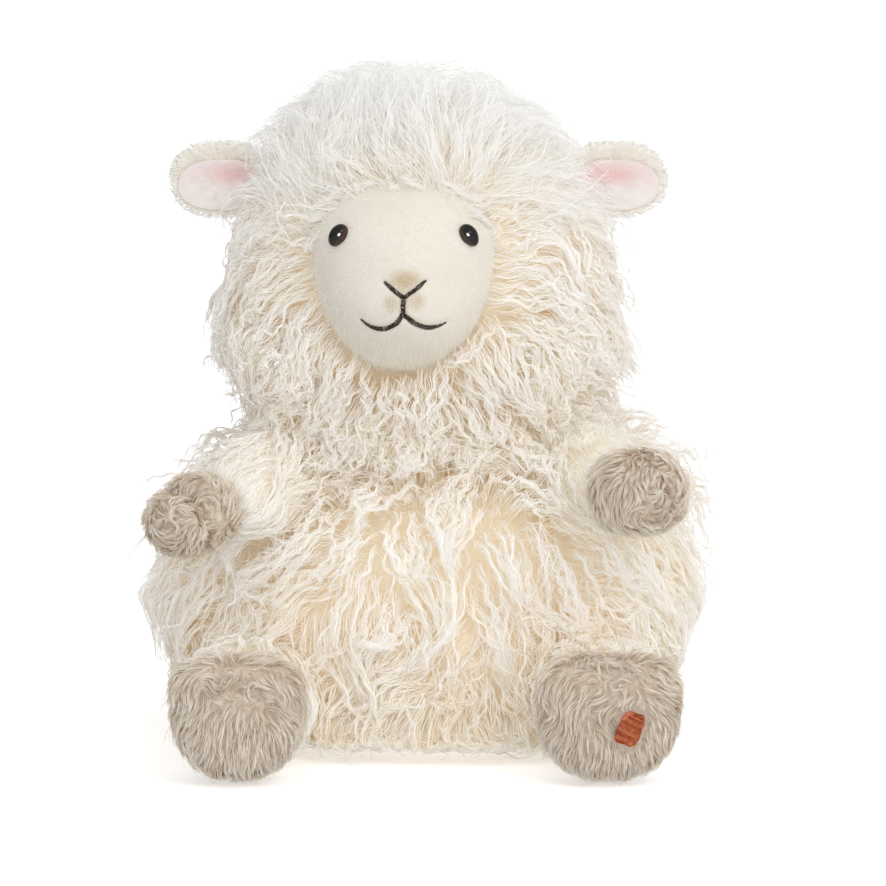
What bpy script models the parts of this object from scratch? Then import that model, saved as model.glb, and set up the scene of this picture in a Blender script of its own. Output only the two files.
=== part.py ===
"""A seated plush sheep, built as it is sewn: fleece skins, stuffing wads, a pellet bag for
ballast, safety eyes with their locking washers, lined ears, sleeves and paws, legs and feet.

Metres, +Z up. The sheep looks along -Y. Left and right are the sheep's own, so its left
side is +X. Z = 0 is the surface it sits on. The long curly pile is part of each fleece, so
a fleece is as thick as its pile lies.
"""

import math

import bmesh
import bpy
from mathutils import Matrix, Vector

# ---------------------------------------------------------------- driving dimensions
GAP = 0.0004  # between pieces that touch when sewn
BODY_X, BODY_Y = 0.003, 0.0125  # middle of the body
BODY_DEPTH = 0.75  # front to back half depth, as a share of the half width
BODY_PILE = 0.018  # fleece and pile on the body
# (half width, height) up the body's outline, from the middle of the base to the neck
BODY_PROFILE = (
    (0.000, 0.0000),
    (0.030, 0.0000),
    (0.058, 0.0000),
    (0.084, 0.0000),
    (0.103, 0.0110),
    (0.115, 0.0300),
    (0.120, 0.0520),
    (0.117, 0.0760),
    (0.109, 0.0985),
    (0.096, 0.1175),
    (0.076, 0.1295),
    (0.051, 0.1345),
    (0.024, 0.1360),
    (0.000, 0.1365),
)
BAG_MIDDLE, BAG_SEMI = (0.003, 0.0165, 0.0370), (0.072, 0.050, 0.0170)
BAG_WALL = 0.0010

HEAD_MIDDLE, HEAD_SEMI = (-0.003, 0.0025, 0.2167), (0.0910, 0.0810, 0.0813)
HEAD_INNER = (0.0660, 0.0560, 0.0600)
FACE_MIDDLE, FACE_SEMI = (-0.0090, -0.0420, 0.2155), (0.0430, 0.0540, 0.0420)
FACE_SQUARENESS = 2.5
FACE_WALL = 0.0016
NECK_PIVOT, NECK_R = (0.0010, 0.0050, 0.1400), 0.0330
SEAM_ROOM = 0.0026  # between a limb's round root and its seat, where the seam thread lies
THREAD_R = 0.0005

EYE_SPREAD, EYE_HEIGHT = 0.0277, 0.2357
EYE_R, EYE_DOME, SHANK_R, SHANK_LENGTH = 0.0056, 0.0036, 0.0015, 0.0095
WASHER_R, WASHER_BORE, WASHER_THICK, WASHER_DEPTH = 0.0052, 0.0019, 0.0012, 0.0040
STITCH_R = 0.0007

EAR_HINGE_X, EAR_Y, EAR_Z = 0.0765, -0.0020, 0.2560
EAR_LENGTH, EAR_WIDTH, EAR_THICK = 0.0365, 0.0350, 0.0090

ARM_R, ARM_LENGTH, ARM_WALL = 0.0165, 0.0300, 0.0030
PAW_LENGTH, PAW_WIDE, PAW_HIGH = 0.0410, 0.0225, 0.0200
# pivot, then the middle of the paw
ARMS = {
    "right": ((-0.0670, -0.0475, 0.1260), (-0.1020, -0.0780, 0.1125)),
    "left": ((0.0710, -0.0480, 0.1280), (0.0944, -0.0930, 0.1244)),
}

LEG_R, LEG_LENGTH, LEG_WALL = 0.0270, 0.0280, 0.0040
FOOT_LENGTH = 0.0360
# pivot, direction, half width and half height of the foot
LEGS = {
    "right": ((-0.0780, -0.0620, 0.0290), (-0.06, -0.998, 0.0), 0.0305, 0.0285),
    "left": ((0.0770, -0.0625, 0.0295), (0.06, -0.998, 0.0), 0.0325, 0.0290),
}
BADGE_WIDE, BADGE_HIGH, BADGE_THICK = 0.0048, 0.0080, 0.0012

TAIL_PIVOT, TAIL_AIM = (0.003, 0.1110, 0.0720), (0.0, 0.34, -0.94)
TAIL_R, TAIL_LENGTH = 0.0110, 0.0330

# ---------------------------------------------------------------- scene and materials
for old in list(bpy.data.objects):
    bpy.data.objects.remove(old, do_unlink=True)

parts = bpy.data.collections.new("plush_sheep")
cutters = bpy.data.collections.new("cutters")
for made in (parts, cutters):
    bpy.context.scene.collection.children.link(made)


def material(name, colour, roughness, metallic=0.0):
    made = bpy.data.materials.new(name)
    made.use_nodes = True
    shader = made.node_tree.nodes["Principled BSDF"]
    shader.inputs["Base Color"].default_value = (*colour, 1.0)
    shader.inputs["Roughness"].default_value = roughness
    shader.inputs["Metallic"].default_value = metallic
    made.diffuse_color = (*colour, 1.0)
    return made


WOOL = material("curly_wool", (0.86, 0.79, 0.68), 0.95)
FACE = material("face_velour", (0.90, 0.86, 0.79), 0.9)
SLEEVE = material("sleeve_plush", (0.90, 0.86, 0.77), 0.95)
HOOF = material("hoof_plush", (0.60, 0.51, 0.43), 0.95)
PINK = material("ear_lining", (0.88, 0.70, 0.68), 0.9)
EYE = material("eye_plastic", (0.012, 0.010, 0.009), 0.08)
WASHER = material("washer_plastic", (0.80, 0.80, 0.78), 0.4)
THREAD = material("dark_thread", (0.055, 0.028, 0.022), 0.7)
SEWING = material("sewing_thread", (0.85, 0.80, 0.70), 0.7)
RUST = material("badge_thread", (0.62, 0.17, 0.06), 0.6)
FILLING = material("polyester_filling", (0.93, 0.93, 0.92), 1.0)
CLOTH = material("bag_cloth", (0.80, 0.78, 0.72), 0.9)
PELLETS = material("pellets", (0.75, 0.77, 0.78), 0.5)


# ---------------------------------------------------------------- modelling helpers
def empty(name, at):
    made = bpy.data.objects.new(name, None)
    made.empty_display_size = 0.02
    made.location = at
    parts.objects.link(made)
    return made


def put(name, mesh, made_of, at=(0, 0, 0), turn=None, under=None):
    """A named piece whose own origin is at a point of the sheep, under a joint's empty if it has one."""
    made = bpy.data.objects.new(name, mesh)
    parts.objects.link(made)
    where = Vector(at)
    if under is not None:
        made.parent = under
        where -= under.location
    made.location = where
    if turn is not None:
        made.rotation_mode = "QUATERNION"
        made.rotation_quaternion = turn
    mesh.materials.append(made_of)
    mesh.shade_smooth()
    return made


def cutter(name, mesh, at=(0, 0, 0), turn=None):
    made = bpy.data.objects.new(name, mesh)
    cutters.objects.link(made)
    made.location = at
    if turn is not None:
        made.rotation_mode = "QUATERNION"
        made.rotation_quaternion = turn
    made.hide_render = True
    made.display_type = "WIRE"
    return made


def cut(piece, *tools, join=False):
    for tool in tools:
        step = piece.modifiers.new("with_" + tool.name, "BOOLEAN")
        step.operation = "UNION" if join else "DIFFERENCE"
        step.solver = "EXACT"
        step.object = tool


def wall(piece, thickness):
    step = piece.modifiers.new("wall", "SOLIDIFY")
    step.thickness = thickness
    step.offset = -1.0
    step.use_even_offset = True


def aim(direction):
    """The turn that lays a piece's own +Z along a direction, with its own Y as near up as it can be."""
    return Vector(direction).to_track_quat("Z", "Y")


def ball_mesh(name, across, up, place, keep=None):
    """A UV sphere whose points are moved by place(unit point), less the faces that keep refuses."""
    bm = bmesh.new()
    bmesh.ops.create_uvsphere(bm, u_segments=across, v_segments=up, radius=1.0)
    units = {v: v.co.normalized() for v in bm.verts}
    if keep is not None:
        gone = [
            f
            for f in bm.faces
            if not keep(sum((units[v] for v in f.verts), Vector()) / len(f.verts))
        ]
        bmesh.ops.delete(bm, geom=gone, context="FACES")
    for v in bm.verts:
        v.co = place(units[v])
    mesh = bpy.data.meshes.new(name)
    bm.to_mesh(mesh)
    bm.free()
    return mesh


def swollen(semi, by, power=2.0):
    """place() for a superellipsoid with each half axis grown by a distance."""
    axes = [s + by for s in semi]

    def place(n):
        grow = sum(abs(c) ** power for c in n) ** (-1.0 / power)
        return Vector([n[i] * grow * axes[i] for i in range(3)])

    return place


def smooth(points, share):
    """A point on the Catmull-Rom curve through evenly spaced points, at a share of its way."""
    last = len(points) - 1
    at = min(max(share, 0.0), 1.0) * last
    i = min(int(at), last - 1)
    t = at - i
    p1, p2 = points[i], points[i + 1]
    p0 = points[i - 1] if i > 0 else p1
    p3 = points[i + 2] if i + 2 <= last else p2
    return tuple(
        0.5
        * (
            2 * b
            + (c - a) * t
            + (2 * a - 5 * b + 4 * c - d) * t * t
            + (3 * b - a - 3 * c + d) * t * t * t
        )
        for a, b, c, d in zip(p0, p1, p2, p3)
    )


def latitude(n):
    """0 at the unit ball's lowest point and 1 at its highest."""
    return math.asin(max(-1.0, min(1.0, n.z))) / math.pi + 0.5


def body_place(inset):
    """place() for the body's pear shape, moved inwards by a distance."""
    last = len(BODY_PROFILE) - 1

    def place(n):
        share = latitude(n)
        # the rings fall on the profile's own points, so that the base is flat
        r, z = BODY_PROFILE[min(int(round(share * last)), last)]
        before = smooth(BODY_PROFILE, share - 0.5 / last)
        after = smooth(BODY_PROFILE, share + 0.5 / last)
        dr, dz = after[0] - before[0], after[1] - before[1]
        long = math.hypot(dr, dz) or 1.0
        out_r, out_z = dz / long, -dr / long
        flat = math.hypot(n.x, n.y)
        if flat < 1e-6:
            return Vector((0.0, 0.0, z - math.copysign(inset, out_z)))
        wide = max(r - inset * out_r, 0.0)
        deep = max(r * BODY_DEPTH - inset * out_r, 0.0)
        return Vector((wide * n.x / flat, deep * n.y / flat, z - inset * out_z))

    return place


def turned_place(profile, sections=None):
    """place() for a shape turned about its own +Z: profile(share) gives (radius, height)."""

    def place(n):
        r, z = profile(latitude(n))
        flat = math.hypot(n.x, n.y)
        if flat < 1e-6:
            return Vector((0.0, 0.0, z))
        x, y = n.x / flat, n.y / flat
        wide, high = sections(z, x, y) if sections else (1.0, 1.0)
        return Vector((r * x * wide, r * y * high, z))

    return place


def rod_mesh(name, radius, low, high, sides=12):
    bm = bmesh.new()
    bmesh.ops.create_cone(
        bm,
        cap_ends=True,
        cap_tris=False,
        segments=sides,
        radius1=radius,
        radius2=radius,
        depth=high - low,
        matrix=Matrix.Translation((0, 0, (low + high) / 2)),
    )
    mesh = bpy.data.meshes.new(name)
    bm.to_mesh(mesh)
    bm.free()
    return mesh


def seat(name, at, radius):
    """The round seat that a limb's root turns in."""
    return cutter(name, ball_mesh(name, 14, 8, swollen((radius,) * 3, SEAM_ROOM + 0.0008)), at)


def seam(name, at, along, radius, back, under=None):
    """A ring of sewing thread round a limb's root, in the room between the root and its seat."""
    along = Vector(along).normalized()
    ring = radius + SEAM_ROOM * 0.5
    angle = math.asin(back / ring)
    bpy.ops.mesh.primitive_torus_add(
        major_segments=16,
        minor_segments=4,
        major_radius=ring * math.cos(angle),
        minor_radius=THREAD_R,
    )
    made = bpy.context.object
    made.name = made.data.name = name
    for home in list(made.users_collection):
        home.objects.unlink(made)
    parts.objects.link(made)
    made.location = Vector(at) - along * back
    made.rotation_mode = "QUATERNION"
    made.rotation_quaternion = aim(along)
    made.data.materials.append(SEWING)
    made.data.shade_smooth()
    return made


# ---------------------------------------------------------------- joints
neck = empty("joint_neck", NECK_PIVOT)
hips = {side: empty("joint_leg_" + side, LEGS[side][0]) for side in LEGS}
shoulders = {side: empty("joint_arm_" + side, ARMS[side][0]) for side in ARMS}
SIGN = {"right": -1.0, "left": 1.0}
ear_hinges = {
    side: empty(
        "joint_ear_" + side, (HEAD_MIDDLE[0] + SIGN[side] * EAR_HINGE_X, EAR_Y, EAR_Z)
    )
    for side in SIGN
}
tail_root = empty("joint_tail", TAIL_PIVOT)

# ---------------------------------------------------------------- body
body_at = (BODY_X, BODY_Y, 0.0)
rings = len(BODY_PROFILE) - 1
seats = [seat("neck_seat", NECK_PIVOT, NECK_R), seat("tail_seat", TAIL_PIVOT, TAIL_R)]
seats += [seat("shoulder_seat_" + s, ARMS[s][0], ARM_R) for s in ARMS]
seats += [seat("hip_seat_" + s, LEGS[s][0], LEG_R) for s in LEGS]

body_fleece = put(
    "body_fleece", ball_mesh("body_fleece", 20, rings, body_place(0.0)), WOOL, body_at
)
body_room = cutter(
    "body_room", ball_mesh("body_room", 16, rings, body_place(BODY_PILE + GAP)), body_at
)
cut(body_fleece, body_room, *seats)

body_stuffing = put(
    "body_stuffing",
    ball_mesh("body_stuffing", 16, rings, body_place(BODY_PILE + 2 * GAP)),
    FILLING,
    body_at,
)


def bag_pocket(n):
    """The pellet bag's outline above, and straight walls out through the stuffing's base below."""
    upper = swollen(BAG_SEMI, 3 * GAP, 4.0)
    if n.z >= -1e-4:
        return upper(n)
    flat = math.hypot(n.x, n.y)
    if flat < 1e-6:
        return Vector((0, 0, -0.030))
    edge = upper(Vector((n.x / flat, n.y / flat, 0.0)))
    deep = latitude(n) * 2.0
    if deep < 0.45:
        return Vector((edge.x * deep / 0.45, edge.y * deep / 0.45, -0.030))
    return Vector((edge.x, edge.y, -0.030 * (1.0 - (deep - 0.45) / 0.55)))


cut(
    body_stuffing,
    cutter("bag_pocket", ball_mesh("bag_pocket", 14, 8, bag_pocket), BAG_MIDDLE),
    *seats,
)

pellet_bag = put(
    "pellet_bag",
    ball_mesh(
        "pellet_bag", 14, 8, swollen(BAG_SEMI, 0.0, 4.0), keep=lambda n: n.z < 0.90
    ),
    CLOTH,
    BAG_MIDDLE,
)
wall(pellet_bag, BAG_WALL)
put(
    "pellet_fill",
    ball_mesh("pellet_fill", 14, 8, swollen(BAG_SEMI, -BAG_WALL - 2.5 * GAP, 4.0)),
    PELLETS,
    BAG_MIDDLE,
)

# ---------------------------------------------------------------- neck
put(
    "neck_plug",
    ball_mesh("neck_plug", 14, 8, swollen((NECK_R,) * 3, 0.0)),
    FILLING,
    NECK_PIVOT,
    under=neck,
)
seam("neck_seam", NECK_PIVOT, (0, 0, 1), NECK_R, 0.0100)

# ---------------------------------------------------------------- head
face_at = Vector(FACE_MIDDLE)
face_form = swollen(FACE_SEMI, 0.0, FACE_SQUARENESS)


def on_face(x, z, proud=0.0):
    """The face's surface at a place seen from the front, and its outward normal."""
    p = FACE_SQUARENESS
    a, b, c = FACE_SEMI
    dx, dz = x - face_at.x, z - face_at.z
    rest = max(1.0 - abs(dx / a) ** p - abs(dz / c) ** p, 0.0)
    dy = -b * rest ** (1.0 / p)
    normal = Vector(
        (
            math.copysign(abs(dx / a) ** (p - 1) / a, dx),
            -(abs(dy / b) ** (p - 1)) / b,
            math.copysign(abs(dz / c) ** (p - 1) / c, dz),
        )
    ).normalized()
    return Vector((x, face_at.y + dy, z)) + normal * proud, normal


head_fleece = put(
    "head_fleece",
    ball_mesh("head_fleece", 20, 12, swollen(HEAD_SEMI, 0.0, 2.1)),
    WOOL,
    HEAD_MIDDLE,
    under=neck,
)
head_room = cutter(
    "head_room", ball_mesh("head_room", 14, 8, swollen(HEAD_INNER, 0.0)), HEAD_MIDDLE
)
face_room = cutter(
    "face_room",
    ball_mesh("face_room", 18, 12, swollen(FACE_SEMI, 2 * GAP, FACE_SQUARENESS)),
    FACE_MIDDLE,
)
ear_slots = [
    cutter(
        "ear_slot_" + side,
        rod_mesh("ear_slot_" + side, 0.0114, -0.0220, 0.0220, 12),
        ear_hinges[side].location,
    )
    for side in SIGN
]
cut(head_fleece, head_room, face_room, seats[0], *ear_slots)

face_panel = put(
    "face_panel",
    ball_mesh("face_panel", 18, 12, face_form, keep=lambda n: n.y < 0.02),
    FACE,
    FACE_MIDDLE,
    under=neck,
)
wall(face_panel, FACE_WALL)

head_stuffing = put(
    "head_stuffing",
    ball_mesh("head_stuffing", 14, 8, swollen(HEAD_INNER, -2 * GAP)),
    FILLING,
    HEAD_MIDDLE,
    under=neck,
)
face_wad = cutter(
    "face_wad",
    ball_mesh(
        "face_wad",
        14,
        8,
        swollen(FACE_SEMI, -FACE_WALL - 2 * GAP, FACE_SQUARENESS),
    ),
    FACE_MIDDLE,
)
face_skin = cutter(
    "face_skin",
    ball_mesh(
        "face_skin",
        18,
        12,
        swollen(FACE_SEMI, 2 * GAP, FACE_SQUARENESS),
        keep=lambda n: n.y < 0.10,
    ),
    FACE_MIDDLE,
)
wall(face_skin, FACE_WALL + 4 * GAP)
cut(head_stuffing, face_wad, join=True)
cut(head_stuffing, face_skin, seats[0])

for side, sign in SIGN.items():
    middle, out = on_face(FACE_MIDDLE[0] + sign * EYE_SPREAD, EYE_HEIGHT)
    turn = aim(out)
    eye = put(
        "eye_" + side,
        ball_mesh(
            "eye_" + side,
            14,
            8,
            lambda n: Vector((EYE_R * n.x, EYE_R * n.y, EYE_DOME * n.z if n.z > 0 else 0.0005 * n.z)),
        ),
        EYE,
        middle + out * (0.0005 + GAP),
        turn,
        under=neck,
    )
    shank = cutter(
        "shank_" + side,
        rod_mesh("shank_" + side, SHANK_R, -SHANK_LENGTH, 0.0005, 10),
        middle + out * (0.0005 + GAP),
        turn,
    )
    cut(eye, shank, join=True)
    hole = cutter(
        "shank_hole_" + side,
        rod_mesh("shank_hole_" + side, SHANK_R + 2 * GAP, -0.012, 0.004, 10),
        middle,
        turn,
    )
    pocket = cutter(
        "washer_pocket_" + side,
        rod_mesh("washer_pocket_" + side, WASHER_R + 0.0012, -0.0064, 0.001, 12),
        middle,
        turn,
    )
    cut(face_panel, hole)
    cut(head_stuffing, hole, pocket)
    washer = put(
        "eye_washer_" + side,
        rod_mesh(
            "eye_washer_" + side,
            WASHER_R,
            -WASHER_DEPTH - WASHER_THICK,
            -WASHER_DEPTH,
            16,
        ),
        WASHER,
        middle,
        turn,
        under=neck,
    )
    bore = cutter(
        "washer_bore_" + side,
        rod_mesh("washer_bore_" + side, WASHER_BORE, -0.010, 0.002, 12),
        middle,
        turn,
    )
    cut(washer, bore)


def stitched_line(name, places, radius=STITCH_R):
    """Satin stitching laid along the face, as one round bead."""
    data = bpy.data.curves.new(name, "CURVE")
    data.dimensions = "3D"
    data.bevel_depth = radius
    data.bevel_resolution = 1
    data.use_fill_caps = True
    line = data.splines.new("POLY")
    line.points.add(len(places) - 1)
    for point, (x, z) in zip(line.points, places):
        on, _ = on_face(FACE_MIDDLE[0] + x, FACE_MIDDLE[2] + z, radius + 2 * GAP)
        point.co = (*(on - Vector(NECK_PIVOT)), 1.0)
    data.materials.append(THREAD)
    made = bpy.data.objects.new(name, data)
    parts.objects.link(made)
    made.parent = neck
    return made


def bowed(start, middle, end, count):
    """Points along a parabola through three."""
    found = []
    for k in range(count):
        t = k / (count - 1)
        found.append(
            tuple(
                a * (1 - t) * (1 - 2 * t) + 4 * b * t * (1 - t) + c * t * (2 * t - 1)
                for a, b, c in zip(start, middle, end)
            )
        )
    return found


stitched_line(
    "nose_stitching",
    bowed((-0.0082, 0.0014), (-0.0044, -0.0029), (0.0002, -0.0059), 5)
    + bowed((0.0002, -0.0059), (0.0054, -0.0025), (0.0099, 0.0022), 5)[1:],
)
stitched_line("philtrum_stitching", [(0.0, -0.0078), (0.0, -0.0088), (0.0, -0.0098)])
stitched_line(
    "mouth_stitching",
    bowed((-0.0182, -0.0150), (-0.0096, -0.0189), (-0.0010, -0.0121), 7)
    + bowed((0.0010, -0.0120), (0.0090, -0.0181), (0.0184, -0.0167), 7),
)

# ---------------------------------------------------------------- ears
for side, sign in SIGN.items():
    hinge = ear_hinges[side]
    hinge.parent = neck
    hinge.location = hinge.location - neck.location
    root = Vector((HEAD_MIDDLE[0] + sign * EAR_HINGE_X, EAR_Y, EAR_Z))
    for piece, facing, made_of in (("back", 1.0, SLEEVE), ("lining", -1.0, PINK)):
        bm = bmesh.new()
        bmesh.ops.create_uvsphere(bm, u_segments=16, v_segments=10, radius=1.0)
        for v in bm.verts:
            n = v.co.normalized()
            # one long paddle, a little narrower where it is gathered at the head
            along = n.x * sign
            width = EAR_WIDTH / 2 * (1.0 - 0.46 * max(-along, 0.0))
            grow = sum(abs(c) ** 2.3 for c in n) ** (-1.0 / 2.3)
            v.co = Vector(
                (
                    n.x * grow * EAR_LENGTH / 2,
                    n.y * grow * EAR_THICK / 2,
                    n.z * grow * width,
                )
            )
        bmesh.ops.bisect_plane(
            bm,
            geom=bm.verts[:] + bm.edges[:] + bm.faces[:],
            plane_co=(0, facing * GAP / 2, 0),
            plane_no=(0, -facing, 0),
            clear_outer=True,
        )
        bmesh.ops.holes_fill(bm, edges=[e for e in bm.edges if e.is_boundary])
        bmesh.ops.recalc_face_normals(bm, faces=bm.faces)
        mesh = bpy.data.meshes.new("ear_%s_%s" % (side, piece))
        bm.to_mesh(mesh)
        bm.free()
        made = put(
            "ear_%s_%s" % (side, piece), mesh, made_of
        )
        made.parent = hinge
        made.location = (sign * EAR_LENGTH / 2, 0, 0)

# ---------------------------------------------------------------- arms
def limb_profile(radius, length, rim=0.9):
    """A round root about the pivot, then a straight tube that reaches its length at rim."""

    def profile(share):
        if share <= 0.5:
            angle = (share - 0.5) * math.pi
            return radius * math.cos(angle), radius * math.sin(angle)
        return radius, min((share - 0.5) / (rim - 0.5), 1.0) * length

    return profile


def end_profile(root, girth, start, length, first=0.2):
    """A paw or foot: from an open rim it swells to its girth, and closes round its end."""

    def profile(share):
        t = min(max((share - first) / (1.0 - first), 0.0), 1.0)
        angle = t * math.pi / 2
        swell = root + (girth - root) * min(t / 0.35, 1.0)
        blunt = max(1.0 - math.sin(angle) ** 5.0, 0.0) ** 0.5
        return swell * blunt, start + length * math.sin(angle) ** 0.9

    return profile


for side, (pivot, paw_middle) in ARMS.items():
    joint = shoulders[side]
    along = (Vector(paw_middle) - Vector(pivot)).normalized()
    turn = aim(along)
    sleeve = put(
        "arm_%s_sleeve" % side,
        ball_mesh(
            "arm_%s_sleeve" % side,
            14,
            10,
            turned_place(limb_profile(ARM_R, ARM_LENGTH)),
            keep=lambda n: latitude(n) < 0.9,
        ),
        SLEEVE,
        pivot,
        turn,
        under=joint,
    )
    wall(sleeve, ARM_WALL)

    def cloven(z, x, y, start=ARM_LENGTH, length=PAW_LENGTH):
        """The paw's oval section, with the cleft of a hoof towards its end."""
        share = min(max((z - start) / length, 0.0), 1.0)
        cleft = 1.0 - 0.34 * share * share * math.exp(-((x / 0.30) ** 2))
        oval = min(share / 0.3, 1.0)
        wide = 1.0 + oval * (PAW_WIDE / PAW_HIGH - 1.0)
        return wide * cleft, cleft

    paw = put(
        "paw_%s" % side,
        ball_mesh(
            "paw_%s" % side,
            16,
            10,
            turned_place(
                end_profile(ARM_R, PAW_HIGH, ARM_LENGTH + GAP, PAW_LENGTH), cloven
            ),
            keep=lambda n: latitude(n) > 0.2,
        ),
        HOOF,
        pivot,
        turn,
        under=joint,
    )
    wall(paw, ARM_WALL)

    def filling(share):
        r = ARM_R - ARM_WALL - 2 * GAP
        if share <= 0.4:
            angle = (share / 0.4 - 1.0) * math.pi / 2
            return r * math.cos(angle), r * math.sin(angle)
        t = (share - 0.4) / 0.6
        far = ARM_LENGTH + PAW_LENGTH * 0.66
        return r * max(1.0 - t**6, 0.0) ** 0.5, far * math.sin(t * math.pi / 2)

    put(
        "arm_%s_stuffing" % side,
        ball_mesh("arm_%s_stuffing" % side, 10, 8, turned_place(filling)),
        FILLING,
        pivot,
        turn,
        under=joint,
    )
    seam("shoulder_seam_" + side, pivot, along, ARM_R, 0.0085)

# ---------------------------------------------------------------- legs
for side, (pivot, along, wide, high) in LEGS.items():
    joint = hips[side]
    turn = aim(along)
    leg = put(
        "leg_%s_fleece" % side,
        ball_mesh(
            "leg_%s_fleece" % side,
            14,
            10,
            turned_place(limb_profile(LEG_R, LEG_LENGTH)),
            keep=lambda n: latitude(n) < 0.9,
        ),
        WOOL,
        pivot,
        turn,
        under=joint,
    )
    wall(leg, LEG_WALL)

    def block(z, x, y, wide=wide, high=high):
        """A foot is a rounded block: its section squares off between the ankle and the toe."""
        share = min(max((z - LEG_LENGTH) / (FOOT_LENGTH * 0.3), 0.0), 1.0)
        power = 2.0 + 0.6 * share
        square = (abs(x) ** power + abs(y) ** power) ** (-1.0 / power)
        return (
            square * (1.0 + share * (wide / LEG_R - 1.0)),
            square * (1.0 + share * (high / LEG_R - 1.0)),
        )

    foot = put(
        "foot_%s" % side,
        ball_mesh(
            "foot_%s" % side,
            18,
            10,
            turned_place(
                end_profile(LEG_R, LEG_R, LEG_LENGTH + GAP, FOOT_LENGTH), block
            ),
            keep=lambda n: latitude(n) > 0.2,
        ),
        HOOF,
        pivot,
        turn,
        under=joint,
    )
    wall(foot, LEG_WALL)

    def filling(share):
        r = LEG_R - LEG_WALL - 4 * GAP
        if share <= 0.4:
            angle = (share / 0.4 - 1.0) * math.pi / 2
            return r * math.cos(angle), r * math.sin(angle)
        t = (share - 0.4) / 0.6
        far = LEG_LENGTH + FOOT_LENGTH * 0.78
        return r * max(1.0 - t**6, 0.0) ** 0.5, far * math.sin(t * math.pi / 2)

    put(
        "leg_%s_stuffing" % side,
        ball_mesh("leg_%s_stuffing" % side, 12, 8, turned_place(filling)),
        FILLING,
        pivot,
        turn,
        under=joint,
    )
    seam("hip_seam_" + side, pivot, along, LEG_R, 0.0100)

# a plain oval of satin stitch on the left foot
left_pivot, left_along = Vector(LEGS["left"][0]), Vector(LEGS["left"][1]).normalized()
put(
    "foot_badge",
    ball_mesh(
        "foot_badge",
        14,
        6,
        lambda n: Vector(
            (BADGE_WIDE * n.x, BADGE_HIGH * n.y, BADGE_THICK / 2 * n.z)
        ),
    ),
    RUST,
    left_pivot
    + left_along * (LEG_LENGTH + FOOT_LENGTH + GAP + BADGE_THICK / 2 + GAP)
    + Vector((0.0075, 0.0, -0.0020)),
    aim(left_along),
    under=hips["left"],
)

# ---------------------------------------------------------------- tail
tail_turn = aim(TAIL_AIM)


def tail_profile(radius, length):
    def profile(share):
        if share <= 0.5:
            angle = (share - 0.5) * math.pi
            return radius * math.cos(angle), radius * math.sin(angle)
        t = (share - 0.5) * 2.0
        return (
            radius * (1.0 + 0.10 * math.sin(math.pi * t)) * max(1.0 - t**3, 0.0) ** 0.5,
            (length - radius) * math.sin(t * math.pi / 2),
        )

    return profile


tail = put(
    "tail_fleece",
    ball_mesh(
        "tail_fleece",
        12,
        10,
        turned_place(tail_profile(TAIL_R, TAIL_LENGTH)),
        keep=lambda n: latitude(n) > 0.16,
    ),
    WOOL,
    TAIL_PIVOT,
    tail_turn,
    under=tail_root,
)
wall(tail, 0.0040)
put(
    "tail_stuffing",
    ball_mesh(
        "tail_stuffing",
        10,
        6,
        turned_place(tail_profile(TAIL_R - 0.0040 - 2 * GAP, TAIL_LENGTH - 0.0100)),
    ),
    FILLING,
    TAIL_PIVOT,
    tail_turn,
    under=tail_root,
)
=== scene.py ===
import math

import bmesh
import bpy
import numpy as np
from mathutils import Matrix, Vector
from mathutils.bvhtree import BVHTree


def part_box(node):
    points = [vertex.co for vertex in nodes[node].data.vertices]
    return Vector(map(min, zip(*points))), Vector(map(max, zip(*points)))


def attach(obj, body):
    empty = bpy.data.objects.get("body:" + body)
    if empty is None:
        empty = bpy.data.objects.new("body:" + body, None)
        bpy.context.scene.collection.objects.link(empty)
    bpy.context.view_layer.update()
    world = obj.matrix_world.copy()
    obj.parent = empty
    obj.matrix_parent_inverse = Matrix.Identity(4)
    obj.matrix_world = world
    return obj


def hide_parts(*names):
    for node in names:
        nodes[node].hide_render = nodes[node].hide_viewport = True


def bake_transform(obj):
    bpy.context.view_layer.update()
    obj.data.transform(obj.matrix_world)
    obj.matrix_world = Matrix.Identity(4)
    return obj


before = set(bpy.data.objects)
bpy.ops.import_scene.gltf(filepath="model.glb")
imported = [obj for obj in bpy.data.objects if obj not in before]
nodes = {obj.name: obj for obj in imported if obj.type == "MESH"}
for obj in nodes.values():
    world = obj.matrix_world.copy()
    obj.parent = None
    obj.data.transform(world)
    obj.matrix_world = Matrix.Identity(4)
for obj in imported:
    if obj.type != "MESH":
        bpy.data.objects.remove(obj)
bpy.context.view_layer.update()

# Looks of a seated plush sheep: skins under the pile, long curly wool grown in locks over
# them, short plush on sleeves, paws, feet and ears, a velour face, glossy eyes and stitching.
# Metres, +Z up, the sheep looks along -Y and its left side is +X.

# ---------------------------------------------------------------- sizes of the solids underneath
BODY_AT = np.array((0.003, 0.0125, 0.0))
BODY_DEPTH = 0.75
BODY_PROFILE = np.array((
    (0.084, 0.0000), (0.103, 0.0110), (0.115, 0.0300), (0.120, 0.0520), (0.117, 0.0760),
    (0.109, 0.0985), (0.096, 0.1175), (0.076, 0.1295), (0.051, 0.1345), (0.024, 0.1360),
    (0.000, 0.1365),
))
HEAD_AT = np.array((-0.003, 0.0025, 0.2167))
FACE_AT = np.array((-0.0090, -0.0420, 0.2155))
FACE_SEMI = (0.0430, 0.0540, 0.0420)
FACE_P = 2.5
EYE_SPREAD, EYE_HEIGHT = 0.0277, 0.2357
EAR_HINGES = {"left": (0.0735, -0.002, 0.256), "right": (-0.0795, -0.002, 0.256)}
EAR_LENGTH, EAR_WIDTH, EAR_THICK = 0.0365, 0.0350, 0.0090
ARMS = {
    "right": ((-0.0670, -0.0475, 0.1260), (-0.1020, -0.0780, 0.1125)),
    "left": ((0.0710, -0.0480, 0.1280), (0.0944, -0.0930, 0.1244)),
}
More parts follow.
